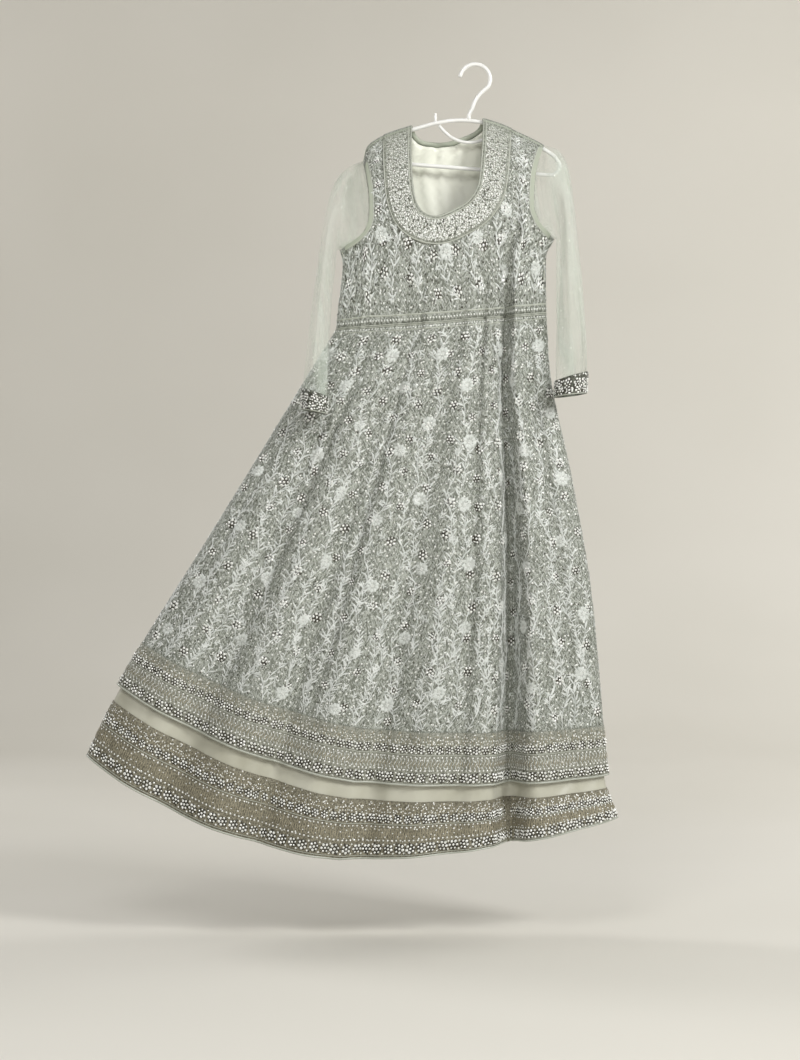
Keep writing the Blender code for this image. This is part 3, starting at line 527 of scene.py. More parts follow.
def make_mesh(name, verts, face_groups, material, smooth=True):
    """A mesh object from points and arrays of faces, each array with its own number of corners."""
    mesh = bpy.data.meshes.new(name)
    mesh.vertices.add(len(verts))
    mesh.vertices.foreach_set("co", np.asarray(verts, np.float32).ravel())
    corners = np.concatenate([np.asarray(group).ravel() for group in face_groups])
    sizes = np.concatenate([np.full(len(group), np.shape(group)[1]) for group in face_groups])
    mesh.loops.add(len(corners))
    mesh.loops.foreach_set("vertex_index", corners.astype(np.int32))
    mesh.polygons.add(len(sizes))
    mesh.polygons.foreach_set("loop_start", (np.cumsum(sizes) - sizes).astype(np.int32))
    mesh.update(calc_edges=True)
    mesh.validate()
    mesh.materials.append(material)
    if smooth:
        mesh.shade_smooth()
    obj = bpy.data.objects.new(name, mesh)
    bpy.context.scene.collection.objects.link(obj)
    return obj


def grid_faces(rows, columns, closed=False):
    """Four-cornered faces of a grid of points, which may close round on itself."""
    r = np.arange(rows - 1)[:, None] * columns
    c = np.arange(columns if closed else columns - 1)[None, :]
    d = (c + 1) % columns
    return np.stack([r + c, r + d, r + columns + d, r + columns + c], axis=-1).reshape(-1, 4)


def facing(faces, points, normals):
    """The faces, turned over if they look the other way than the normals."""
    a, b, c = (points[faces[:, k]] for k in range(3))
    same = (np.cross(b - a, c - a) * normals[faces[:, 0]]).sum(axis=1)
    return faces if np.median(same) > 0 else faces[:, ::-1]


# A surface's points and outward normals. Side is -1 for the front, 1 for the back and 0 for a sleeve
Form = namedtuple("Form", "points normals side")


def cloth_wall(name, form, faces, top, wall, material):
    """Cloth as a closed wall at a height over the form, kept on its own half of the dress."""
    points, normals = form.points.reshape(-1, 3), form.normals.reshape(-1, 3)
    faces = facing(faces, points, normals)
    used = np.unique(faces)
    number = np.zeros(len(points), int)
    number[used] = np.arange(len(used))
    faces, points, normals = number[faces], points[used], normals[used]
    verts = np.concatenate([points + normals * top, points + normals * (top - wall)])
    if form.side:
        verts[:, 1] = form.side * np.maximum(form.side * verts[:, 1], SEAM_GAP / 2)
    count = len(points)
    a, b = faces.ravel(), np.roll(faces, -1, axis=1).ravel()
    free = ~np.isin(a * count + b, b * count + a)
    a, b = a[free], b[free]
    rim = np.stack([b, a, a + count, b + count], axis=1)
    return make_mesh(name, verts, [faces, faces[:, ::-1] + count, rim], material)


class Stitches:
    """Many small raised shapes on a field, joined into one mesh for each material."""

    def __init__(self, field, seed):
        self.field = field
        self.rng = np.random.default_rng(seed)
        self.parts = {}
        across = field.points[1, 2] - field.points[1, 1]
        down = field.points[2, 1] - field.points[1, 1]
        self.flip = np.dot(np.cross(across, down), field.normals[1, 1]) < 0

    def add(self, kind, across, down, outline, heights, faces):
        """The same shape at many places. Outlines are metres across and down from each place."""
        across, down = np.asarray(across, float), np.asarray(down, float)
        if len(across) == 0:
            return
        x, y = outline[..., 0], outline[..., 1]
        at_down = down[:, None] + y / self.field.length(across)[:, None]
        at_across = across[:, None] + x / self.field.width(np.clip(at_down, 0, 1))
        heights = np.broadcast_to(heights, at_across.shape)
        self.lay(kind, self.field.place(at_across, at_down, heights), faces)

    def lay(self, kind, points, faces):
        self.parts.setdefault(kind, []).append((points, np.array(faces)))

    def build(self, name):
        for kind, groups in self.parts.items():
            verts, faces, base = [], [], 0
            for points, shape in groups:
                count, size = points.shape[:2]
                ids = base + np.arange(count)[:, None, None] * size + shape[None]
                ids = ids.reshape(-1, shape.shape[1])
                faces.append(ids[:, ::-1] if self.flip else ids)
                verts.append(points.reshape(-1, 3))
                base += count * size
            obj = make_mesh(f"{name}_{kind}", np.concatenate(verts), faces, KINDS[kind], kind not in FACETED)
            finish_piece(obj, "beadwork")


def turned(points, angles, sizes):
    """Copies of an outline, each turned by its angle and scaled by its size."""
    c, s = np.cos(angles)[:, None], np.sin(angles)[:, None]
    x, y = points[None, :, 0] * sizes[:, None, 0], points[None, :, 1] * sizes[:, None, 1]
    return np.stack([x * c - y * s, x * s + y * c], axis=-1)


# A leaf from its stalk at 0 to its tip at 1, half width 1, with a raised middle
LEAF = np.array([
    (0, 0), (0.75, 0.28), (1, 0.55), (0.55, 0.82), (0, 1), (-0.55, 0.82), (-1, 0.55), (-0.75, 0.28),
    (0, 0.5),
])
LEAF_FACES = [(8, i, (i + 1) % 8) for i in range(8)]
LEAF_HEIGHTS = np.array([0.2, 0.25, 0.25, 0.25, 0.2, 0.25, 0.25, 0.25, 1.0])
# A short run of thread: a narrow lozenge, raised along its middle
FLECK = np.array([(0, 0), (1, 0.5), (0, 1), (-1, 0.5), (0, 0.5)])
FLECK_FACES = [(4, i, (i + 1) % 4) for i in range(4)]
FLECK_HEIGHTS = np.array([0.1, 0.2, 0.1, 0.2, 1.0])
LIFT = 0.0003


def ring_of(sides, turn=0.0):
    """Even points round a circle of radius 1."""
    angle = np.arange(sides) * 2 * math.pi / sides + turn
    return np.stack([np.cos(angle), np.sin(angle)], axis=1)


def dome(sides):
    """A faceted dome: a rim, a shoulder ring and a top, in units of its radius."""
    rim = ring_of(sides)
    heights = np.concatenate([np.zeros(sides), np.full(sides, 0.75), [1.0]])
    faces = []
    for i in range(sides):
        j = (i + 1) % sides
        faces += [(i, j, sides + j), (i, sides + j, sides + i), (sides + i, sides + j, 2 * sides)]
    return np.concatenate([rim, rim * 0.62, [[0, 0]]]), heights, faces


def cone(sides):
    """A low cone: a rim and a top, in units of its radius."""
    heights = np.concatenate([np.zeros(sides), [1.0]])
    faces = [(i, (i + 1) % sides, sides) for i in range(sides)]
    return np.concatenate([ring_of(sides, 0.4), [[0, 0]]]), heights, faces


SMALL_BEAD = dome(5)
SEQUIN = cone(5)
DISC = cone(8)


def long_shapes(st, kind, places, shape, angle, length, width):
    """Leaves or flecks. Angle 0 points down the cloth, and grows towards the right."""
    points, heights, faces = shape
    across, down = np.atleast_1d(places[0]), np.atleast_1d(places[1])
    wide, long = np.broadcast_to(width, across.shape) / 2, np.broadcast_to(length, across.shape)
    outline = turned(points, -np.broadcast_to(angle, across.shape), np.stack([wide, long], axis=1))
    st.add(kind, across, down, outline, LIFT + heights, faces)


def leaves(st, places, angle, length, width):
    """Leaves in silver thread, which start at their places."""
    long_shapes(st, "thread", places, (LEAF, LEAF_HEIGHTS * LEAF_RIB, LEAF_FACES), angle, length, width)


def flecks(st, kind, places, angle, length, width, rib=0.0009):
    """Short runs of thread, with their places at their middles."""
    shape = (FLECK - np.array([0, 0.5]), FLECK_HEIGHTS * rib, FLECK_FACES)
    long_shapes(st, kind, places, shape, angle, length, width)


def beads(st, kind, places, radius, shape=SEQUIN, tall=0.8):
    """Round shapes at the places. Tall is their height in units of their radius."""
    across = np.atleast_1d(places[0])
    radius = np.broadcast_to(radius, across.shape)
    points, heights, faces = shape
    outline = points[None] * radius[:, None, None]
    lift = LIFT + heights[None] * radius[:, None] * tall
    st.add(kind, across, np.atleast_1d(places[1]), outline, lift, faces)


def offset(st, places, x, y):
    """The places that lie x metres across and y metres down from others."""
    across, down = places
    new_down = down + y / st.field.length(across)
    return across + x / st.field.width(np.clip(new_down, 0, 1)), new_down


def stems(st, kind, places, width=0.0016, height=0.0012):
    """Raised cords along paths given as rows of places."""
    across, down = np.atleast_2d(places[0]), np.atleast_2d(places[1])
    step_x = np.gradient(across, axis=1) * st.field.width(np.clip(down, 0, 1))
    step_y = np.gradient(down, axis=1) * st.field.length(across)
    size = np.hypot(step_x, step_y) + 1e-9
    nx, ny = step_y / size * width / 2, -step_x / size * width / 2
    left, right = (offset(st, (across, down), nx * way, ny * way) for way in (-1, 1))
    lanes = [left + (LIFT,), (across, down, LIFT + height), right + (LIFT,)]
    points = np.stack([st.field.place(a, d, np.full(a.shape, h)) for a, d, h in lanes], axis=2)
    count, steps = across.shape
    first = np.array([(i * 3 + lane) for i in range(steps - 1) for lane in (0, 1)])
    faces = np.stack([first, first + 3, first + 4, first + 1], axis=1)
    st.lay(kind, points.reshape(count, steps * 3, 3), faces)


def rosettes(st, places, radius):
    """Round flower heads: white beads in a ring and one in the middle, on a dark round ground."""
    radius = np.broadcast_to(radius, places[0].shape)
    beads(st, "dark", places, radius, DISC, 0.07)
    beads(st, "crystal", places, radius * 0.29, SMALL_BEAD)
    spin = places[0] * 997
    for k in range(ROSETTE_BEADS):
        angle = spin + k * 2 * math.pi / ROSETTE_BEADS
        x, y = np.cos(angle) * radius * 0.68, np.sin(angle) * radius * 0.68
        size = radius * (0.27 + 0.06 * np.sin(5 * angle))
        beads(st, "crystal", offset(st, places, x, y), size, SMALL_BEAD)


def blossoms(st, places, radius):
    """Flowers in pale thread: a soft round with radiating stitches, round a few beads."""
    beads(st, "fine", places, radius * 0.95, DISC, 0.05)
    for k in range(BLOSSOM_PETALS):
        turn = k * 2 * math.pi / BLOSSOM_PETALS
        spot = offset(st, places, math.sin(turn) * radius * 0.66, math.cos(turn) * radius * 0.66)
        flecks(st, "pale", spot, turn, radius * 0.76, radius * 0.50, 0.0020)
    beads(st, "pale", places, radius * 0.40, DISC, 0.20)
    for k in range(BLOSSOM_BEADS):
        turn = k * 2 * math.pi / BLOSSOM_BEADS + 0.4
        spot = offset(st, places, math.sin(turn) * radius * 0.20, math.cos(turn) * radius * 0.20)
        beads(st, "crystal", spot, radius * 0.10, SEQUIN, 2.2)


def uneven(st, places, low, high):
    """A size between two for each place."""
    return st.rng.uniform(low, high, len(places[0]))


def scatter(st, spacing, top=0.0, bottom=1.0):
    """Uneven places about a spacing apart all over a stretch of the field."""
    length = float(st.field.length(0.5))
    rows = max(int(length * (bottom - top) / spacing), 1)
    across, down = [], []
    for r in range(rows):
        level = top + (r + 0.5) / rows * (bottom - top)
        columns = max(int(st.field.width(level) / spacing), 1)
        across.append((np.arange(columns) + 0.5 + st.rng.uniform(-0.42, 0.42, columns)) / columns)
        down.append(level + st.rng.uniform(-0.45, 0.45, columns) * (bottom - top) / rows)
    return np.concatenate(across), np.concatenate(down)


def sequins(st, kind, places, low, high, tall):
    """Small sequins of uneven size."""
    beads(st, kind, places, uneven(st, places, low, high), SEQUIN, tall)


# Materials


def shader_material(name, **values):
    """A new material with constant values on its shader."""
    material = bpy.data.materials.new(name)
    material.use_nodes = True
    shader = material.node_tree.nodes["Principled BSDF"]
    for key, value in values.items():
        shader.inputs[key.replace("_", " ")].default_value = value
    return material, material.node_tree, shader


def linear(red, green, blue):
    """A colour given as 0 to 255 display values, as the shader wants it."""
    values = np.array([red, green, blue]) / 255
    lin = np.where(values <= 0.04045, values / 12.92, ((values + 0.055) / 1.055) ** 2.4)
    return (*[float(v) for v in lin], 1.0)


def textured(tree, kind, scale, stretch=(1, 1, 1), turn=0.0):
    """A texture node over the piece's own coordinates, drawn out and turned where asked."""
    where = tree.nodes.new("ShaderNodeTexCoord")
    mapping = tree.nodes.new("ShaderNodeMapping")
    mapping.vector_type = "TEXTURE"
    mapping.inputs["Rotation"].default_value = (0, turn, 0)
    mapping.inputs["Scale"].default_value = [1 / s for s in stretch]
    texture = tree.nodes.new(kind)
    texture.inputs["Scale"].default_value = scale
    tree.links.new(where.outputs["Object"], mapping.inputs["Vector"])
    tree.links.new(mapping.outputs["Vector"], texture.inputs["Vector"])
    return texture


def noise(tree, scale, detail=3.0, stretch=(1, 1, 1), turn=0.0):
    texture = textured(tree, "ShaderNodeTexNoise", scale, stretch, turn)
    texture.inputs["Detail"].default_value = detail
    return texture.outputs["Fac"]


def cells(tree, scale, feature="F1"):
    texture = textured(tree, "ShaderNodeTexVoronoi", scale)
    texture.feature = feature
    return texture.outputs["Distance"]


def ramp(tree, value, stops):
    node = tree.nodes.new("ShaderNodeValToRGB")
    elements = node.color_ramp.elements
    while len(elements) < len(stops):
        elements.new(0.5)
    for element, (at, colour) in zip(elements, stops):
        element.position = at
        element.color = colour
    tree.links.new(value, node.inputs["Fac"])
    return node.outputs["Color"]


def mixed(tree, share, one, other):
    node = tree.nodes.new("ShaderNodeMix")
    node.data_type = "RGBA"
    for socket, value in ((node.inputs[0], share), (node.inputs[6], one), (node.inputs[7], other)):
        if hasattr(value, "links"):
            tree.links.new(value, socket)
        else:
            socket.default_value = value
    return node.outputs[2]


def scaled(tree, value, low, high, to_low=0.0, to_high=1.0):
    node = tree.nodes.new("ShaderNodeMapRange")
    ends = {"From Min": low, "From Max": high, "To Min": to_low, "To Max": to_high}
    for key, end in ends.items():
        node.inputs[key].default_value = end
    tree.links.new(value, node.inputs["Value"])
    return node.outputs["Result"]


def bumped(tree, shader, value, strength, distance):
    node = tree.nodes.new("ShaderNodeBump")
    node.inputs["Strength"].default_value = strength
    node.inputs["Distance"].default_value = distance
    tree.links.new(value, node.inputs["Height"])
    tree.links.new(node.outputs["Normal"], shader.inputs["Normal"])


def toned(name, tones, spread, grain, bump_grain, bump, **values):
    """A material of two uneven tones with a fine bump. A grain is a noise's scale, detail and stretch."""
    material, tree, shader = shader_material(name, **values)
    tone = ramp(tree, noise(tree, *grain), list(zip(spread, [linear(*tone) for tone in tones])))
    tree.links.new(tone, shader.inputs["Base Color"])
    bumped(tree, shader, noise(tree, *bump_grain), *bump)
    return material


def net_material():
    """Sage net, closely covered with slanting runs of silver thread and tiny sequins."""
    material, tree, shader = shader_material(
        "embroidered_net", Roughness=0.6, Sheen_Weight=0.12, Sheen_Roughness=0.4
    )
    colour = ramp(tree, noise(tree, 16), [(0.3, linear(106, 110, 100)), (0.7, linear(138, 142, 133))])
    for turn in (-0.5, 0.5):
        runs = scaled(tree, noise(tree, 360, 2, (1, 1, 0.2), turn), 0.53, 0.60)
        colour = mixed(tree, runs, colour, linear(198, 202, 193))
    dots = scaled(tree, cells(tree, 190), 0.14, 0.20, 1.0, 0.0)
    colour = mixed(tree, dots, colour, linear(238, 240, 234))
    mesh = scaled(tree, cells(tree, 900, "DISTANCE_TO_EDGE"), 0.02, 0.12)
    tree.links.new(mixed(tree, mesh, linear(96, 100, 86), colour), shader.inputs["Base Color"])
    bumped(tree, shader, runs, 0.5, 0.0008)
    return material


def thread_material(name, *tones):
    return toned(
        name, tones, (0.3, 0.7), (60,), (900, 2, (1, 1, 0.3)), (0.5, 0.0005),
        Roughness=0.48, Sheen_Weight=0.35, Specular_IOR_Level=0.6,
    )


def crystal_material():
    return toned(
        "crystal", ((216, 219, 210), (253, 253, 250)), (0.35, 0.6), (300, 1), (1500, 1), (0.3, 0.0002),
        Roughness=0.10, Specular_IOR_Level=0.9, Coat_Weight=0.8, Coat_Roughness=0.04,
    )


def dark_bead_material():
    return toned(
        "dark_bead", ((32, 30, 22), (72, 68, 52)), (0.35, 0.65), (350, 1), (1200, 1), (0.3, 0.0002),
        Roughness=0.35, Specular_IOR_Level=0.6,
    )


def border_material(name, *tones):
    """The ground of a beaded border: close stitching in two tones."""
    return toned(
        name, tones, (0.38, 0.62), (330, 3), (600, 2), (0.6, 0.0008), Roughness=0.6, Sheen_Weight=0.2
    )


def satin_material(name, dark, light, roughness, crumple=0.0):
    """Smooth cloth with a fine upright grain, or soft crumples where a depth is given."""
    bump_grain, bump = (1400, 2, (1, 1, 0.15)), (0.15, 0.0003)
    if crumple:
        bump_grain, bump = (11, 2, (1, 1, 0.45), 0.8), (1.0, crumple)
    return toned(
        name, (dark, light), (0.3, 0.7), (9, 3, (1, 1, 0.4)), bump_grain, bump,
        Roughness=roughness, Sheen_Weight=0.2, Anisotropic=0.4, Specular_IOR_Level=0.6,
    )


def sheer_material():
    """Fine green net, thicker where it gathers into long soft folds."""
    tones = ((203, 213, 199), (219, 226, 216))
    material = toned(
        "sheer_net", tones, (0.3, 0.7), (10,), (900, 2), (0.2, 0.0004), Roughness=0.7, Sheen_Weight=0.1
    )
    tree = material.node_tree
    mesh = scaled(tree, cells(tree, 1000, "DISTANCE_TO_EDGE"), 0.03, 0.2, 0.20, 0.05)
    folds = scaled(tree, noise(tree, 30, 2, (1, 1, 0.10), -0.12), 0.44, 0.68, 0.45, 2.4)
    product = tree.nodes.new("ShaderNodeMath")
    product.operation = "MULTIPLY"
    tree.links.new(mesh, product.inputs[0])
    tree.links.new(folds, product.inputs[1])
    tree.links.new(product.outputs[0], tree.nodes["Principled BSDF"].inputs["Alpha"])
    return material


def plastic_material():
    return toned(
        "white_plastic", ((238, 238, 234), (248, 248, 245)), (0.3, 0.7), (25,), (400, 2), (0.06, 0.0003),
        Roughness=0.28, Coat_Weight=0.25,
    )


def backdrop_material():
    return toned(
        "backdrop", ((217, 214, 205), (223, 220, 212)), (0.3, 0.7), (0.7, 2), (60, 2), (0.04, 0.002),
        Roughness=0.9,
    )


PIPING = satin_material("piping", (166, 169, 156), (196, 199, 188), 0.3)
GREEN_NET = satin_material("green_net", (156, 162, 145), (180, 186, 169), 0.6)
PLASTIC = plastic_material()
KINDS = {
    "thread": thread_material("silver_thread", (194, 198, 193), (232, 235, 232)),
    "fine": thread_material("fine_thread", (158, 162, 155), (202, 205, 200)),
    "pale": thread_material("pale_thread", (196, 200, 194), (226, 230, 226)),
    "gold": thread_material("gold_thread", (132, 125, 101), (172, 164, 140)),
    "crystal": crystal_material(),
    "dark": dark_bead_material(),
    "piping": PIPING,
    "strip": GREEN_NET,
}
FACETED = ("crystal", "dark")

# A cloth's thickness, its material and its slot
Cloth = namedtuple("Cloth", "wall material slot")
NET = Cloth(NET_WALL, net_material(), "embroidered_net")
SATIN = Cloth(SATIN_WALL, satin_material("satin", (176, 174, 156), (208, 207, 192), 0.45, 0.030), "satin")
LINING = Cloth(
    LINING_WALL, satin_material("pale_satin", (236, 239, 222), (247, 248, 235), 0.4), "pale_satin"
)
FACING = Cloth(LINING_WALL, GREEN_NET, "sheer_net")
SHEER = Cloth(SLEEVE_WALL, sheer_material(), "sheer_net")


def border_cloth(name, dark, light):
    return Cloth(BORDER_WALL, border_material(name, dark, light), "beadwork")


OUTER_BORDER = border_cloth("outer_border", (108, 109, 96), (162, 163, 151))
UNDER_BORDER = border_cloth("under_border", (90, 86, 69), (144, 139, 120))
NECK_BORDER = border_cloth("neck_border", (116, 120, 108), (172, 175, 164))
CUFF_BORDER = border_cloth("cuff_border", (50, 53, 42), (112, 116, 102))


def finish_piece(obj, slot, *nodes):
    """Puts a piece under the root body and hides the nodes it stands for. The slot is not used."""
    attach(obj, "root")
    if nodes:
        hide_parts(*nodes)


def declare(obj, cut_name, cloth, nodes=()):
    """Puts a sheet of cloth under the root body and hides its nodes: the cut's own, unless others are given.
    """
    finish_piece(obj, cloth.slot, *(nodes or [cut_name]))


def make_sheet(name, cut_name, form, faces, top, cloth, nodes=()):
    """Some faces of a form as a sheet of cloth, its outer side at a height over the form."""
    declare(cloth_wall(name, form, faces, top, cloth.wall, cloth.material), cut_name, cloth, nodes)


# Bodice

# Metres for each unit of turn and of level, so that the triangles come out even
FLAT_TURN = 0.15
FLAT_LEVEL = 0.42
NECK_POINTS = 70
BODICE_SPACING = 0.0075


def armhole_line(right, shares):
    """Places down an armhole from the shoulder, at those shares of its length."""
    tip = RIGHT_TIP_X if right else LEFT_TIP_X
    below = RIGHT_ARMHOLE if right else LEFT_ARMHOLE
    return sampled([(tip, float(SHOULDER_Z(tip)))] + [tuple(p) for p in below], shares)


def neck_outline(points):
    """The neckline from the right shoulder round to the left, with more points at its ends."""
    ends = [(x, float(SHOULDER_Z(x))) for x in (NECK_RIGHT_X, NECK_LEFT_X)]
    ease = np.linspace(0, 1, NECK_POINTS)
    shares = ease - np.sin(2 * math.pi * ease) * 0.12
    return sampled([ends[0]] + [tuple(p) for p in points] + [ends[1]], shares)


def beside(line, width):
    """A line at a width outside the neckline, which ends on the shoulder line."""
    along = unit(np.gradient(line, axis=0))
    moved = line + np.stack([-along[:, 1], along[:, 0]], axis=1) * width
    gaps = np.linalg.norm(moved[:, None] - line[None], axis=2).min(axis=1)
    keep = (gaps > 0.97 * width) & (moved[:, 1] < SHOULDER_Z(moved[:, 0]) - width / 4)
    keep[[0, -1]] = False
    right, left = ([(x, float(SHOULDER_Z(x)))] for x in (NECK_RIGHT_X + width, NECK_LEFT_X - width))
    return np.concatenate([right, moved[keep], left])


def bodice_outline(neck):
    """A bodice panel's edge as addresses, round from the waist's left end."""
    shares = np.linspace(0, 1, 36) ** 1.3
    lines = (armhole_line(True, shares), armhole_line(False, shares), neck)
    right, left, neck_edge = (np.stack(bodice_address(line), axis=1) for line in lines)
    right[0, 1] = left[0, 1] = neck_edge[0, 1] = neck_edge[-1, 1] = -1.0
    right[-1, 0], left[-1, 0] = math.pi, 0.0
    steps = np.linspace(0, 1, 24)[1:-1, None]

    def shoulder(start, end):
        xs = start + (end - start) * np.linspace(0, 1, 20)[1:-1]
        turns = bodice_address(np.stack([xs, SHOULDER_Z(xs)], axis=1))[0]
        return np.stack([turns, np.full_like(turns, -1.0)], axis=1)

    waist = [(t, -SEAM_GAP / 2) for t in np.linspace(0, math.pi, 60)]
    up = np.concatenate([np.full_like(steps, math.pi), right[-1, 1] * steps], axis=1)
    down = np.concatenate([np.zeros_like(steps), left[-1, 1] * (1 - steps)], axis=1)
    return np.concatenate([
        waist, up, right[::-1], shoulder(RIGHT_TIP_X, NECK_RIGHT_X), neck_edge,
        shoulder(NECK_LEFT_X, LEFT_TIP_X), left, down,
    ])


def inside(points, loop):
    """Which flat points lie inside a closed loop."""
    x, y = points[:, 0][:, None], points[:, 1][:, None]
    ax, ay = loop[:, 0][None], loop[:, 1][None]
    bx, by = np.roll(loop[:, 0], -1)[None], np.roll(loop[:, 1], -1)[None]
    crosses = (ay > y) != (by > y)
    with np.errstate(divide="ignore", invalid="ignore"):
        hit = crosses & (x < ax + (bx - ax) * (y - ay) / (by - ay))
    return hit.sum(axis=1) % 2 == 1


def divided(outline, lines, spacing):
    """Addresses and triangles of a panel with that edge, cut along the inner lines too."""
    scale = np.array([FLAT_TURN, FLAT_LEVEL])
    loop = outline * scale
    points = list(map(tuple, loop))
    edges = []
    for line in lines:
        flat_line = line * scale
        ends = [int(np.linalg.norm(loop - flat_line[k], axis=1).argmin()) for k in (0, -1)]
        chain = [ends[0]] + list(range(len(points), len(points) + len(line) - 2)) + [ends[1]]
        points += list(map(tuple, flat_line[1:-1]))
        edges += list(zip(chain, chain[1:]))
    turns = np.arange(0, math.pi * FLAT_TURN, spacing)
    levels = -FLAT_LEVEL * (1 - np.linspace(0, 1, int(FLAT_LEVEL / spacing)) ** 1.25)
    spots = np.array([(t + (k % 2) * spacing / 2, v) for k, v in enumerate(levels) for t in turns])
    spots = spots[inside(spots, loop)]
    held = np.array(points)
    gaps = np.array([np.linalg.norm(held - spot, axis=1).min() for spot in spots])
    points += list(map(tuple, spots[gaps > 0.55 * spacing]))
    done = delaunay_2d_cdt([Vector(p) for p in points], edges, [list(range(len(loop)))], 1, 1e-7)
    return np.array([(p.x, p.y) for p in done[0]]) / scale, np.array([list(face) for face in done[2]])


def distance_to(points, line):
    """Flat distance of each point from a line of points."""
    a, b = line[:-1][None], line[1:][None]
    step = b - a
    share = ((points[:, None] - a) * step).sum(axis=2) / (step ** 2).sum(axis=2)
    near = a + step * np.clip(share, 0, 1)[..., None]
    return np.linalg.norm(points[:, None] - near, axis=2).min(axis=1)


def neck_gap(addresses, faces, neck):
    """How far each face is from the neckline, laid flat."""
    middles = addresses[faces].mean(axis=1)
    x, z, _ = bodice_flat(-np.cos(middles[:, 0]), middles[:, 1])
    return distance_to(np.stack([x, z], axis=1), neck)


def make_bodice(word, neck_points, border_width, inner_widths=()):
    """A panel of the bodice, cut along its border and along any lines a width inside the neck."""
    neck = neck_outline(neck_points)
    lines = []
    for width in (border_width, *inner_widths):
        line = np.stack(bodice_address(beside(neck, width)), axis=1)
        line[[0, -1], 1] = -1.0
        lines.append(line)
    outline = bodice_outline(neck)
    addresses, faces = divided(outline, lines, BODICE_SPACING)
    form = Form(dress_surface(word, *addresses.T), dress_normals(word, *addresses.T), SIDES[word])
    make_sheet(f"bodice_{word}_cloth", f"bodice_{word}", form, faces, 0.0, NET)
    gaps = neck_gap(addresses, faces, neck)
    border = faces[gaps < border_width]
    make_sheet(f"neck_border_{word}_band", f"neck_border_{word}", form, border, BORDER_TOP, NECK_BORDER)
    if inner_widths:
        make_lining(form, faces, gaps, addresses[faces][:, :, 1].min(axis=1))
    stitch_bodice(word, neck, outline, border_width)


def make_lining(form, faces, gaps, highest):
    """The satin lining of the back in soft upright folds, and the facing over its top edge."""
    top = -NET_WALL - SEAM_GAP
    strip = faces[(gaps < NECK_FACING_WIDTH) & (highest > FACING_START)]
    make_sheet("neck_facing_band", "neck_facing_back", form, strip, top, FACING)
    inner = faces[(gaps >= NECK_FACING_WIDTH) & (highest > LINING_START)]
    top -= LINING_WALL + SEAM_GAP
    obj = cloth_wall("lining_cloth", form, inner, top, LINING.wall, LINING.material)
    for v in obj.data.vertices:
        x, z = v.co.x, v.co.z
        wave = math.sin(x * 190 + 2.2 * math.sin(z * 21)) + 0.6 * math.sin(x * 333 + 1.7 + z * 9)
        v.co.y -= LINING_FOLD * (1.6 + wave)
    declare(obj, "lining_back", LINING)


# Skirt and underskirt


def underskirt_inset(level):
    """How far inside the dress's surface the underskirt hangs."""
    hang = UNDERSKIRT_TUCK + (UNDERSKIRT_HANG - UNDERSKIRT_TUCK) * smoothstep(level / 0.20)
    return hang * (1 - smoothstep((level - 1.0) / (UNDER_HEM_LEVEL - 1.0)))


def stretches(*parts):
    """Even steps over each stretch in turn, given as its start, end and number of points."""
    return np.concatenate([np.linspace(*part)[:-1] for part in parts[:-1]] + [np.linspace(*parts[-1])])


def make_layer(word, names, levels, columns, border_start, cloths, inset=None):
    """A panel of the skirt between its levels, and the ground of the border at its foot."""
    turn, level = np.meshgrid(np.linspace(0, math.pi, columns), levels)
    points, normals = dress_surface(word, turn, level), dress_normals(word, turn, level)
    if inset is not None:
        points = points - normals * inset(level)[..., None]
    form = Form(points, normals, SIDES[word])
    faces = grid_faces(len(levels), columns)
    make_sheet(f"{names[0]}_{word}_cloth", f"{names[0]}_{word}", form, faces, 0.0, cloths[0])
    foot = faces[faces[:, 0] >= np.searchsorted(levels, border_start - 1e-6) * columns]
    make_sheet(f"{names[1]}_{word}_band", f"{names[1]}_{word}", form, foot, BORDER_TOP, cloths[1])


def make_skirt(word, columns, rows):
    """The net skirt and the satin underskirt, each with its border's ground."""
    levels = stretches((SEAM_GAP / 2, HEM_BORDER_START, rows), (HEM_BORDER_START, 1.0, 14))
    make_layer(word, ("skirt", "hem_border"), levels, columns, HEM_BORDER_START, (NET, OUTER_BORDER))
    levels = stretches(
        (UNDERSKIRT_TOP, 0.9, rows // 3), (0.9, UNDER_BORDER_START, 12),
        (UNDER_BORDER_START, UNDER_HEM_LEVEL, 14),
    )
    make_layer(
        word, ("underskirt", "underskirt_border"), levels, columns * 3 // 4, UNDER_BORDER_START,
        (SATIN, UNDER_BORDER), underskirt_inset,
    )


# Sleeves


def armhole_ring(right, shares):
    """The sleeve's first ring, just off the bodice's armhole, and the bodice's normals there."""
    flip = 1 if right else -1
    line = armhole_line(right, shares)
    turn, level = bodice_address(line)
    count = len(shares)
    ring, normals = np.zeros((2 * count - 2, 3)), np.zeros((2 * count - 2, 3))
    for word, places, order in (("front", range(1, count - 1), 1), ("back", range(count - 2, 0, -1), -1)):
        ks = np.array(list(places))
        at = ks if order > 0 else 2 * count - 2 - ks
        ring[at] = dress_surface(word, turn[ks], level[ks])
        normals[at] = dress_normals(word, turn[ks], level[ks])
    ring[0], normals[0] = (line[0][0], 0, line[0][1]), (0, 0, 1)
    ring[count - 1], normals[count - 1] = (line[-1][0], 0, line[-1][1]), (-0.3 * flip, 0, -0.95)
    return ring + np.array([flip * 0.94, 0, -0.34]) * SEAM_GAP * 1.5, normals


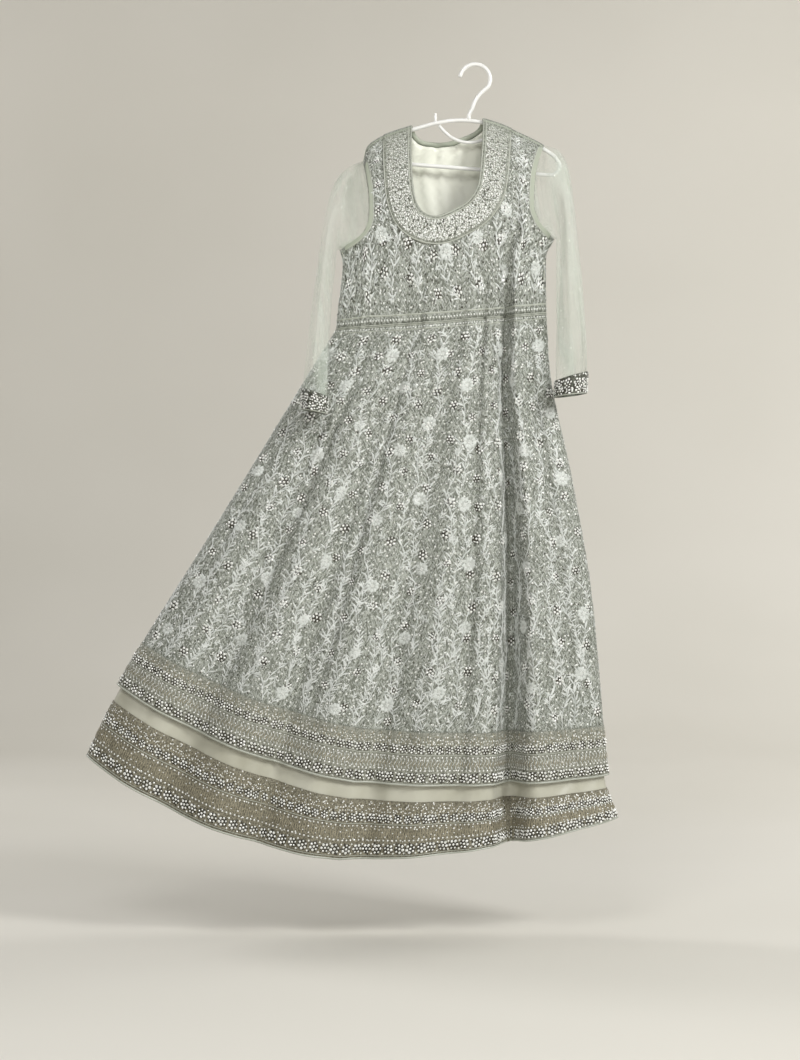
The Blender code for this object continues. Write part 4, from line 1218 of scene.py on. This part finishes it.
def sleeve_points(stations, right, rings, half):
    """Rings of points down a sleeve, from the armhole to the wrist, and their normals."""
    steps = np.arange(half + 1) * (len(ARMHOLE_SHARES) - 1) / half
    shares = np.interp(steps, np.arange(len(ARMHOLE_SHARES)), ARMHOLE_SHARES)
    first, first_normals = armhole_ring(right, shares)
    near = np.concatenate([shares, shares[-2:0:-1]])
    sign = np.concatenate([np.ones(half + 1), -np.ones(half - 1)])
    angle = math.pi * near ** 0.62 * sign
    table = columns_of(stations)
    rows, offsets = [], None
    for along in rings:
        at = {name: float(table[name](along)) for name in table}
        outer = np.array([at["outer_x"], -at["forward"], at["outer_z"]])
        inner = np.array([at["inner_x"], -at["forward"], at["inner_z"]])
        settled = float(smoothstep(along / SLEEVE_CAP))
        ripple = SLEEVE_RIPPLE * settled * np.sin(5 * angle + 0.7) * (1 - 0.5 * along)
        folds = np.sin(9 * angle + 3.1 * np.sin(2.6 * along) + 1.0) + 0.7 * np.sin(14 * angle - 4 * along)
        ripple = ripple + SLEEVE_CREASE * settled * folds * (1 - float(smoothstep((along - 0.8) / 0.2)))
        size = 1 + ripple / at["depth"]
        place = (outer + inner) / 2 + (outer - inner) / 2 * (np.cos(angle) * size)[:, None]
        place[:, 1] -= at["depth"] * np.sin(angle) * size
        if offsets is None:
            offsets = first - place
        low = (1 - np.cos(angle)) / 2
        rows.append(place + offsets * (1 - smoothstep(along / (SLEEVE_CAP * (1 - 0.75 * low))))[:, None])
    points = np.array(rows)
    round_it = np.roll(points, -1, axis=1) - np.roll(points, 1, axis=1)
    along_it = np.gradient(points, axis=0)
    normals = np.cross(round_it, along_it) * (1 if right else -1)
    normals /= np.linalg.norm(normals, axis=2, keepdims=True)
    middle = points.mean(axis=1, keepdims=True)
    if (normals * (points - middle))[len(rings) // 2].sum() < 0:
        normals = -normals
    normals[0] = first_normals
    return points, normals


def make_sleeve(word, stations):
    """A sheer sleeve with its beaded cuff and a few sequins."""
    rings = stretches((0, CUFF_START, 60), (CUFF_START, 1.0, CUFF_RINGS))
    half = 48
    points, normals = sleeve_points(stations, word == "right", rings, half)
    form = Form(points, normals, 0)
    faces = grid_faces(len(rings), 2 * half, closed=True)
    nodes = (f"sleeve_{word}_front", f"sleeve_{word}_back")
    make_sheet(f"sleeve_{word}_cloth", f"sleeve_{word}", form, faces, 0.0, SHEER, nodes)
    cuff_faces = faces[faces.min(axis=1) >= (len(rings) - CUFF_RINGS) * 2 * half]
    make_sheet(f"cuff_{word}_band", f"cuff_{word}", form, cuff_faces, BORDER_TOP, CUFF_BORDER)
    points, normals = (np.concatenate([grid, grid[:, :1]], axis=1) for grid in (points, normals))
    foot = slice(len(rings) - CUFF_RINGS, len(rings))
    stitch_cuff(Field(points[foot] + normals[foot] * BORDER_TOP, normals[foot]), word)
    st = Stitches(Field(points[:-CUFF_RINGS], normals[:-CUFF_RINGS]), SLEEVE_SEED)
    sequins(st, "crystal", scatter(st, 0.030, 0.08, 1.0), 0.0010, 0.0016, 0.5)
    st.build(f"sleeve_{word}_sequins")


# Borders. Heights and widths are over the lower edge, in metres


def row_at(st, from_edge, spacing, shift=0.0):
    """Places a spacing apart along the field's lower edge, at a height over it."""
    count = int(float(st.field.width(1.0)) / spacing)
    across = (np.arange(count) + 0.5 + shift) / count
    across = across[across < 1]
    return across, st.field.up(from_edge, across)


def edge_cord(st, from_edge, width, height):
    """A plain cord along the lower edge, at a height over it."""
    across = np.linspace(0.001, 0.999, 260)
    stems(st, "piping", (across, st.field.up(from_edge, across)), width, height)


def bead_fill(st, low, high, spacing, radius, kind="crystal"):
    """Loose beads all over a band between two heights over the lower edge."""
    top, bottom = (float(st.field.up(height, 0.5)) for height in (high, low))
    places = scatter(st, spacing, top, bottom)
    beads(st, kind, places, radius * uneven(st, places, 0.75, 1.2))


def stitch_cuff(field, word):
    """Two rows of clusters round the cuff, among dark and white beads."""
    st = Stitches(field, CUFF_SEED)
    length = float(field.length(0.5))
    edge_cord(st, 0.0012, 0.0020, 0.0012)
    for height in (0.28, 0.74):
        rosettes(st, row_at(st, length * height, 0.0190, 0.4 * height), 0.0092)
    bead_fill(st, 0.002, length - 0.001, 0.0060, 0.0024, "dark")
    bead_fill(st, 0.002, length - 0.001, 0.0066, 0.0021)
    st.build(f"cuff_{word}_beads")


def cluster_row(st, from_edge, spacing, radius):
    """A row of round clusters, with small beads and dark stitches in the gaps."""
    across, down = row_at(st, from_edge, spacing)
    across = across + st.rng.uniform(-0.0014, 0.0014, len(across)) / st.field.width(1.0)
    rosettes(st, (across, down), radius * uneven(st, (across, down), 0.92, 1.05))
    for height in (-0.8, 0.8):
        beads(st, "crystal", row_at(st, from_edge + radius * height, spacing, 0.5), radius * 0.20)
    bead_fill(st, from_edge - radius * 1.1, from_edge + radius * 1.1, 0.0110, 0.0020, "dark")


def thread_band(st, low, high, kind):
    """A band of close upright gold runs, with a row of beads at either side and loose ones inside."""
    tall = high - low
    places = row_at(st, (low + high) / 2, 0.0052)
    flecks(st, "gold", places, uneven(st, places, -0.15, 0.15), tall * 0.9, 0.0018)
    for share, lean in ((0.28, 0.5), (0.55, -0.5), (0.78, 0.5)):
        places = row_at(st, low + tall * share, 0.0085, share)
        flecks(st, kind, places, lean * uneven(st, places, 0.6, 1.4), 0.0105, 0.0020)
    beads(st, "crystal", row_at(st, low + tall * 0.10, 0.0092, 0.25), 0.0021)
    beads(st, "crystal", row_at(st, low + tall * 0.96, 0.0098), 0.0019)
    bead_fill(st, low, high, 0.0120, 0.0017)


def scallops(st, low, high, spacing):
    """Small beads and gold thread over a cluster row, thinning upwards into a row of points."""
    top, bottom = (float(st.field.up(height, 0.5)) for height in (high, low))
    turns = float(st.field.width(1.0)) / spacing
    for kind, close in (("crystal", 0.0056), ("gold", 0.0060)):
        across, down = scatter(st, close, top, bottom)
        phase = np.abs(across * turns % 1 - 0.5) * 2
        keep = (bottom - down) / (bottom - top) < 1.05 - 0.75 * phase
        places = across[keep], down[keep]
        if kind == "gold":
            flecks(st, kind, places, uneven(st, places, -0.2, 0.2), 0.0090, 0.0016)
        else:
            beads(st, kind, places, uneven(st, places, 0.0013, 0.0020))


# Each border's rows from its lower edge up, with their sizes
HEM_ROWS = [
    (edge_cord, 0.0020, 0.0040, 0.0018),
    (cluster_row, 0.0175, 0.0226, 0.0105),
    (thread_band, 0.0300, 0.0620, "thread"),
    (edge_cord, 0.0655, 0.0014, 0.0010),
    (cluster_row, 0.0770, 0.0205, 0.0092),
    (scallops, 0.0860, 0.1130, 0.0215),
]
UNDER_HEM_ROWS = [
    (edge_cord, 0.0018, 0.0036, 0.0016),
    (edge_cord, 0.0066, 0.0012, 0.0010),
    (cluster_row, 0.0195, 0.0232, 0.0110),
    (thread_band, 0.0330, 0.0640, "gold"),
    (edge_cord, 0.0670, 0.0014, 0.0012),
    (cluster_row, 0.0785, 0.0205, 0.0095),
    (scallops, 0.0880, 0.1125, 0.0205),
]
HEM_BORDER_TALL, UNDER_BORDER_TALL = 0.114, 0.113


def stitch_border(name, field, tall, rows, seed):
    """The rows of a border, from its piping up to the scalloped beads."""
    field.tall = tall
    st = Stitches(field, seed)
    for make_row, *sizes in rows:
        make_row(st, *sizes)
    st.build(f"{name}_beads")


def stitch_hems(word):
    """The beaded borders of the net skirt and of the underskirt."""
    field = dress_field(word, HEM_BORDER_START, 1.0, FIELD_COLUMNS, 40, out=BORDER_TOP)
    stitch_border(f"hem_border_{word}", field, HEM_BORDER_TALL, HEM_ROWS, HEM_SEEDS[word])
    field = dress_field(
        word, UNDER_BORDER_START, UNDER_HEM_LEVEL, FIELD_COLUMNS, 40, underskirt_inset, BORDER_TOP
    )
    name = f"underskirt_border_{word}"
    stitch_border(name, field, UNDER_BORDER_TALL, UNDER_HEM_ROWS, UNDER_HEM_SEEDS[word])


# Embroidery all over


def leaf_row(st, side, places, spread, long):
    """Leaves that grow up and outwards from one side of a stem."""
    angle = math.pi - side * uneven(st, places, *spread)
    size = uneven(st, places, *long)
    leaves(st, places, angle, size, LEAF_WIDTH + size * LEAF_WIDENING)


def vine(st, base, top, bottom):
    """A wavering stem with uneven leaves on both sides, and gaps among them."""
    length = float(st.field.length(base))
    down = np.linspace(top, bottom, max(int((bottom - top) * length / 0.010), 8))
    sway = 0.010 * np.sin(down * length * 31 + st.rng.uniform(0, 6))
    sway += 0.004 * np.sin(down * length * 83 + st.rng.uniform(0, 6))
    across = base + sway / st.field.width(down)
    stems(st, "thread", (across, down))
    apart = 0.0105 / length
    for side in (-1, 1):
        steps = np.arange(top, bottom, apart)
        steps = steps + st.rng.uniform(-0.4, 0.4, len(steps)) * apart
        steps = steps[st.rng.uniform(0, 1, len(steps)) < 0.85]
        leaf_row(st, side, (np.interp(steps, down, across), steps), (0.25, 1.15), (0.009, 0.021))


def motif_rows(st, spacing, top, bottom, step):
    """Places for the large flowers: staggered, a step apart down each line of growth."""
    places = []
    count = max(int(float(st.field.width((top + bottom) / 2)) / spacing), 2)
    for i in range(count):
        base = (i + 0.5) / count
        down = top + (i % 2) * 0.5 * step / float(st.field.length(base))
        while down < bottom:
            places.append((base + st.rng.uniform(-0.2, 0.2) / count, down))
            down += step / float(st.field.length(base)) * st.rng.uniform(0.85, 1.15)
    return np.array(places).T


def sprigs(st, places):
    """Small curved stalks with a few leaves, turned every way."""
    lean = uneven(st, places, -1.1, 1.1) + math.pi * (uneven(st, places, 0, 1) < 0.6)
    size = uneven(st, places, 0.7, 1.15)
    for reach, turn in ((0.000, 0.0), (0.004, 0.75), (0.004, -0.75), (0.011, 0.55), (0.011, -0.55)):
        spot = offset(st, places, np.sin(lean) * reach * size, np.cos(lean) * reach * size)
        leaves(st, spot, lean + turn, (0.018 if turn == 0 else 0.011) * size, 0.0025)


def slanted_runs(st, places, slant, long, width):
    """Fine runs of thread, slanted one way or the other."""
    angle = st.rng.choice([-1, 1], len(places[0])) * uneven(st, places, *slant)
    flecks(st, "fine", places, angle, uneven(st, places, *long), width)


def waist_lines(st, heights, bead_height, from_top):
    """Plain braids round the waist with a row of beads between them."""

    def line(across, height):
        down = height / st.field.length(across)
        return across, down if from_top else 1 - down

    for height in heights:
        stems(st, "piping", line(np.linspace(0.002, 0.998, 220), height), 0.0024, 0.0016)
    count = int(float(st.field.width(0.0 if from_top else 1.0)) / 0.0062)
    beads(st, "crystal", line((np.arange(count) + 0.5) / count, bead_height), 0.0016)


def stitch_skirt(word, spacing):
    """The skirt's vines, sprigs and flowers, with runs of thread and sequins a spacing apart between."""
    field = dress_field(word, 0.0005, HEM_BORDER_START, FIELD_COLUMNS, 260)
    st = Stitches(field, SKIRT_SEEDS[word])
    for count, top, shift in ((9, 0.035, 0.5), (9, 0.30, 0.0), (18, 0.66, 0.25)):
        for i in range(count):
            base = (i + shift + st.rng.uniform(-0.12, 0.12)) / count
            if 0.01 < base < 0.99:
                vine(st, base, top, 0.996)
    sprigs(st, scatter(st, 0.042, 0.03, 0.98))
    places = motif_rows(st, 0.056, 0.04, 0.98, 0.070)
    rosettes(st, places, uneven(st, places, 0.0088, 0.0120))
    places = motif_rows(st, 0.095, 0.08, 0.97, 0.140)
    blossoms(st, places, uneven(st, places, 0.012, 0.017))
    slanted_runs(st, scatter(st, spacing, 0.004, 0.998), (0.05, 0.95), (0.006, 0.014), 0.0021)
    sequins(st, "crystal", scatter(st, spacing * 1.7, 0.004, 0.998), 0.0014, 0.0026, 0.6)
    sequins(st, "dark", scatter(st, spacing * 2.3, 0.004, 0.998), 0.0012, 0.0021, 0.4)
    waist_lines(st, (0.0012, 0.0110), 0.0060, from_top=True)
    st.build(f"skirt_{word}_stitches")


def stitch_bodice(word, neck, outline, border_width):
    """The bodice's embroidery, its plain strips and the beads of its neck border."""
    field = dress_field(word, -0.9995, -0.0005, 300, 200)
    st = Stitches(field, BODICE_SEEDS[word])
    scale = np.array([FLAT_TURN, FLAT_LEVEL])
    armholes = [armhole_line(right, np.linspace(0, 1, 30)) for right in (True, False)]

    def kept(places, gap, waist=0.016):
        """The places clear of the neck border, the armholes, the shoulders and the waist."""
        across, down = places
        turns, levels = field.address(across, down)
        x, z, _ = bodice_flat(-np.cos(turns), levels)
        flat = np.stack([x, z], axis=1)
        keep = inside(np.stack([turns, levels], axis=1) * scale, outline * scale)
        keep &= distance_to(flat, neck) > border_width + gap
        for armhole in armholes:
            keep &= distance_to(flat, armhole) > ARMHOLE_STRIP + gap
        keep &= SHOULDER_Z(x) - z > SHOULDER_STRIP + gap
        keep &= down < 1 - (waist + gap) / field.length(across)
        return across[keep], down[keep]

    vines = 9
    for i in range(vines):
        steps = np.arange(0.03, 0.93, 0.0150 / float(field.length(0.5)))
        at = (i + 0.5) / vines + 0.008 * np.sin(steps * 17 + i) / field.width(steps)
        places = kept((at, steps), 0.004)
        for side in (-1, 1):
            leaf_row(st, side, places, (0.3, 1.1), (0.011, 0.022))
        flecks(st, "thread", places, 0.0, 0.018, 0.0018)
    sprigs(st, kept(scatter(st, 0.036), 0.010))
    places = kept(motif_rows(st, 0.052, 0.06, 0.92, 0.052), 0.009)
    rosettes(st, places, uneven(st, places, 0.0080, 0.0105))
    places = kept(motif_rows(st, 0.075, 0.10, 0.90, 0.090), 0.014)
    blossoms(st, places, uneven(st, places, 0.011, 0.015))
    slanted_runs(st, kept(scatter(st, 0.0080), 0.003, 0.002), (0.1, 1.0), (0.007, 0.013), 0.0022)
    for spacing, kind in ((0.0100, "crystal"), (0.0140, "dark")):
        sequins(st, kind, kept(scatter(st, spacing), 0.001), 0.0011, 0.0022, 0.6)
    waist_lines(st, (0.0004, 0.0125), 0.0065, from_top=False)
    strips(st, armholes)
    neck_rows(st, neck, border_width)
    st.build(f"bodice_{word}_stitches")


def along(st, kind, flat_line, width, height):
    """A raised cord or strip along a flat line on the bodice."""
    stems(st, kind, st.field.spot(*bodice_address(flat_line)), width, height)


def strips(st, armholes):
    """Plain net along the armholes and over the shoulders."""
    for armhole, inward in zip(armholes, (-1, 1)):
        inset = np.array([inward * ARMHOLE_STRIP, 0])
        along(st, "strip", armhole[1:-1] + inset / 2, ARMHOLE_STRIP * 0.9, 0.0006)
        along(st, "piping", armhole[1:-1] + inset, 0.0016, 0.0010)
    for start, end in ((NECK_RIGHT_X, RIGHT_TIP_X), (LEFT_TIP_X, NECK_LEFT_X)):
        shoulder_strip(st, start + 0.002, end - 0.004)


def shoulder_strip(st, start, end):
    """Plain net with a cord under it, just below the shoulder line."""
    xs = np.linspace(start, end, 60)
    for below, kind, width in ((SHOULDER_STRIP / 2, "strip", 0.010), (SHOULDER_STRIP, "piping", 0.0016)):
        along(st, kind, np.stack([xs, SHOULDER_Z(xs) - below], axis=1), width, STRIP_HEIGHT)


def neck_rows(st, neck, border_width):
    """Small uneven beads all over the neckline's border, with a plain cord on either side."""
    rng, step, dark_share = st.rng, 0.0037, 0.12
    st.field.points += st.field.normals * BORDER_TOP
    fine = sampled([tuple(p) for p in neck[::3]], np.linspace(0.0, 1.0, 160))
    for width in (0.0016, 0.0070, border_width - 0.0016):
        along(st, "piping", beside(fine, width)[1:-1], 0.0022, 0.0014)
    for row in range(int((border_width - 0.012) / step)):
        line = beside(fine, 0.0100 + row * step)[1:-1]
        reach = reach_along(line)
        at = np.arange(0.003, reach[-1], step)
        at = at + rng.uniform(-0.4, 0.4, len(at)) * step
        spots = np.stack([np.interp(at, reach, column) for column in line.T], axis=1)
        spots += rng.uniform(-0.3, 0.3, spots.shape) * step
        spots = spots[SHOULDER_Z(spots[:, 0]) - spots[:, 1] > SHOULDER_STRIP]
        across, down = st.field.spot(*bodice_address(spots))
        dark = rng.uniform(0, 1, len(across)) < dark_share
        size = rng.uniform(0.0010, 0.0019, len(across))
        for kind, chosen in (("crystal", ~dark), ("dark", dark)):
            beads(st, kind, (across[chosen], down[chosen]), size[chosen])
    for start in (NECK_RIGHT_X, NECK_LEFT_X - border_width):
        shoulder_strip(st, start + 0.001, start + border_width)
    st.field.points -= st.field.normals * BORDER_TOP


# Hanger


def make_tube(name, points, radius, *nodes, cyclic=False):
    """A smooth round tube through the points, welded at its caps."""
    curve = bpy.data.curves.new(name, "CURVE")
    curve.dimensions = "3D"
    curve.bevel_depth = radius
    curve.bevel_resolution = TUBE_DETAIL
    curve.use_fill_caps = not cyclic
    spline = curve.splines.new("POLY")
    spline.points.add(len(points) - 1)
    for spot, point in zip(spline.points, points):
        spot.co = (*point, 1.0)
    spline.use_cyclic_u = cyclic
    guide = bpy.data.objects.new(name + "_line", curve)
    bpy.context.scene.collection.objects.link(guide)
    bpy.context.view_layer.update()
    data = bpy.data.meshes.new_from_object(guide.evaluated_get(bpy.context.evaluated_depsgraph_get()))
    bpy.data.objects.remove(guide, do_unlink=True)
    mesh = bmesh.new()
    mesh.from_mesh(data)
    bmesh.ops.remove_doubles(mesh, verts=mesh.verts[:], dist=1e-6)
    mesh.to_mesh(data)
    mesh.free()
    data.materials.clear()
    data.materials.append(PLASTIC)
    data.shade_smooth()
    obj = bpy.data.objects.new(name, data)
    bpy.context.scene.collection.objects.link(obj)
    finish_piece(obj, "white_plastic", *nodes)


def frame_line():
    """The hanger's arms, round ends and lower bar, as one closed line."""
    steps = np.linspace(0, len(HANGER_ARM) - 1, 36)
    index = np.arange(len(HANGER_ARM))
    outs, drops = (smooth_through(index, column)(steps) for column in zip(*HANGER_ARM))
    angles = np.linspace(HANGER_END_START, -math.pi / 2, 15)
    end_outs = HANGER_END_OUT + HANGER_END_RADIUS * np.cos(angles)
    end_drops = HANGER_BAR_DROP - HANGER_END_RADIUS - HANGER_END_RADIUS * np.sin(angles)
    half = list(zip(outs, drops)) + list(zip(end_outs, end_drops))
    half += [(0.09, HANGER_BAR_DROP), (0.0, HANGER_BAR_DROP)]
    other = [(-out, drop) for out, drop in reversed(half[1:-1])]
    return [hanger_point(out, drop) for out, drop in half + other]


def hook_line():
    """The hook's stem up from the arms, and its round top."""
    corners = [hanger_point(0.0, -TUBE_RADIUS * 0.4), hanger_point(0.0, -0.012)]
    corners += [np.array([p.x, 0, p.z]) for p in HOOK_STEM]
    arc = []
    for angle in np.linspace(HOOK_START, HOOK_END, 44):
        x, z = HOOK_RADIUS * math.cos(angle), TUBE_RADIUS - HOOK_RADIUS + HOOK_RADIUS * math.sin(angle)
        arc.append(np.array([x, 0, z]))
    stem = sampled(corners + [arc[0]], np.linspace(0, 1, 26)[:-1])
    return [tuple(p) for p in stem] + [tuple(p) for p in arc]


def brace_line():
    """The curved brace under the hanger's arms."""
    points = []
    for u in np.linspace(-1, 1, 33):
        drop = BRACE_START + (BRACE_DROP - BRACE_START) * (1 - abs(u) ** BRACE_SHAPE)
        points.append(tuple(hanger_point(BRACE_HALF * u, drop)))
    return points


def make_hanger():
    make_tube("hanger_frame_tube", frame_line(), TUBE_RADIUS, "hanger_frame", cyclic=True)
    make_tube("hanger_hook_tube", hook_line(), TUBE_RADIUS, "hanger_hook")
    make_tube("hanger_brace_tube", brace_line(), BRACE_RADIUS, "hanger_brace")
    base = hanger_point(-PEG_OUT, PEG_DROP)
    peg = [base + np.array([0.0, 0.0, PEG_HEIGHT * share]) for share in np.linspace(0, 1, 9)]
    make_tube("hanger_peg", peg, PEG_RADIUS)


# Room, lights and camera


def make_stage():
    """A pale floor that curves up into a wall, as one smooth sheet."""
    profile = [(-ROOM_REACH, FLOOR_Z), (WALL_Y - COVE, FLOOR_Z)]
    for angle in np.linspace(0, math.pi / 2, 25)[1:]:
        profile.append((WALL_Y - COVE + COVE * math.sin(angle), FLOOR_Z + COVE - COVE * math.cos(angle)))
    profile.append((WALL_Y, ROOM_REACH / 2))
    xs = np.linspace(-ROOM_REACH, ROOM_REACH, 9)
    points = np.array([[(x, y, z) for x in xs] for y, z in profile])
    faces = grid_faces(len(profile), len(xs))
    make_mesh("backdrop", points.reshape(-1, 3), [faces], backdrop_material())


WHITE, WARM_WHITE, WALL_WHITE = (1.0, 1.0, 0.985), (1.0, 0.99, 0.975), (1.0, 0.985, 0.955)
LAMP_WHITE = (1.0, 0.965, 0.92)
Lamp = namedtuple("Lamp", "name place target size power colour")
LAMPS = [
    Lamp("key", (2.5, -2.75, 1.1), (-0.1, 0, -0.9), 1.2, 100, WHITE),
    Lamp("fill", (0.9, -4.2, 0.1), (-0.3, 0, -0.9), 2.0, 14, WARM_WHITE),
    Lamp("floor_light", (-0.9, -3.2, 1.3), (-0.7, -0.5, FLOOR_Z), 1.4, 40, WARM_WHITE),
    Lamp("back", (-3.1, 1.9, 0.9), (-0.3, 0, -0.9), 1.2, 44, WARM_WHITE),
    Lamp("wall_right", (3.2, 3.6, 1.6), (1.6, WALL_Y, 0.8), 2.0, 54, WALL_WHITE),
    Lamp("wall_left", (-3.2, 3.6, 1.6), (-1.6, WALL_Y, 0.8), 2.0, 28, LAMP_WHITE),
    Lamp("wall_foot", (2.8, 2.6, 1.2), (0.6, 5.0, FLOOR_Z), 2.0, 22, WALL_WHITE),
    Lamp("floor_right", (3.2, 1.6, 0.6), (1.4, 2.4, FLOOR_Z), 1.6, 44, WALL_WHITE),
]


def add_lamp(lamp):
    """A soft square light, aimed at its target and unseen itself."""
    data = bpy.data.lights.new(lamp.name, "AREA")
    data.size, data.energy, data.color = lamp.size, lamp.power, lamp.colour
    light = bpy.data.objects.new(lamp.name, data)
    light.location = lamp.place
    light.visible_camera = False
    direction = Vector(lamp.target) - light.location
    light.rotation_euler = direction.to_track_quat("-Z", "Y").to_euler()
    bpy.context.scene.collection.objects.link(light)


def make_camera():
    """A view straight at the dress's front."""
    data = bpy.data.cameras.new("camera")
    data.sensor_fit = "VERTICAL"
    data.angle = 2 * math.atan(VIEW_HEIGHT / 2 / CAMERA_AWAY)
    camera = bpy.data.objects.new("camera", data)
    camera.location = (VIEW_CENTRE[0], -CAMERA_AWAY, VIEW_CENTRE[1])
    camera.rotation_euler = (math.pi / 2, 0, 0)
    bpy.context.scene.collection.objects.link(camera)
    bpy.context.scene.camera = camera


def make_room():
    """The stage, a pale world, the lights and the camera."""
    make_stage()
    world = bpy.data.worlds.new("pale")
    world.use_nodes = True
    sky = world.node_tree.nodes["Background"]
    sky.inputs["Color"].default_value = SKY_COLOUR
    sky.inputs["Strength"].default_value = SKY_STRENGTH
    bpy.context.scene.world = world
    bpy.context.scene.view_settings.view_transform = "Standard"
    for lamp in LAMPS:
        add_lamp(lamp)
    make_camera()


def main():
    make_bodice("front", FRONT_NECK, NECK_BORDER_WIDTH)
    make_bodice("back", BACK_NECK, BACK_NECK_BORDER_WIDTH, (NECK_FACING_WIDTH,))
    make_skirt("front", 170, 110)
    make_skirt("back", 120, 80)
    for word, spacing in (("front", 0.0078), ("back", 0.0098)):
        stitch_skirt(word, spacing)
        stitch_hems(word)
    make_sleeve("right", RIGHT_SLEEVE)
    make_sleeve("left", LEFT_SLEEVE)
    make_hanger()
    make_room()


main()
bpy.context.view_layer.update()
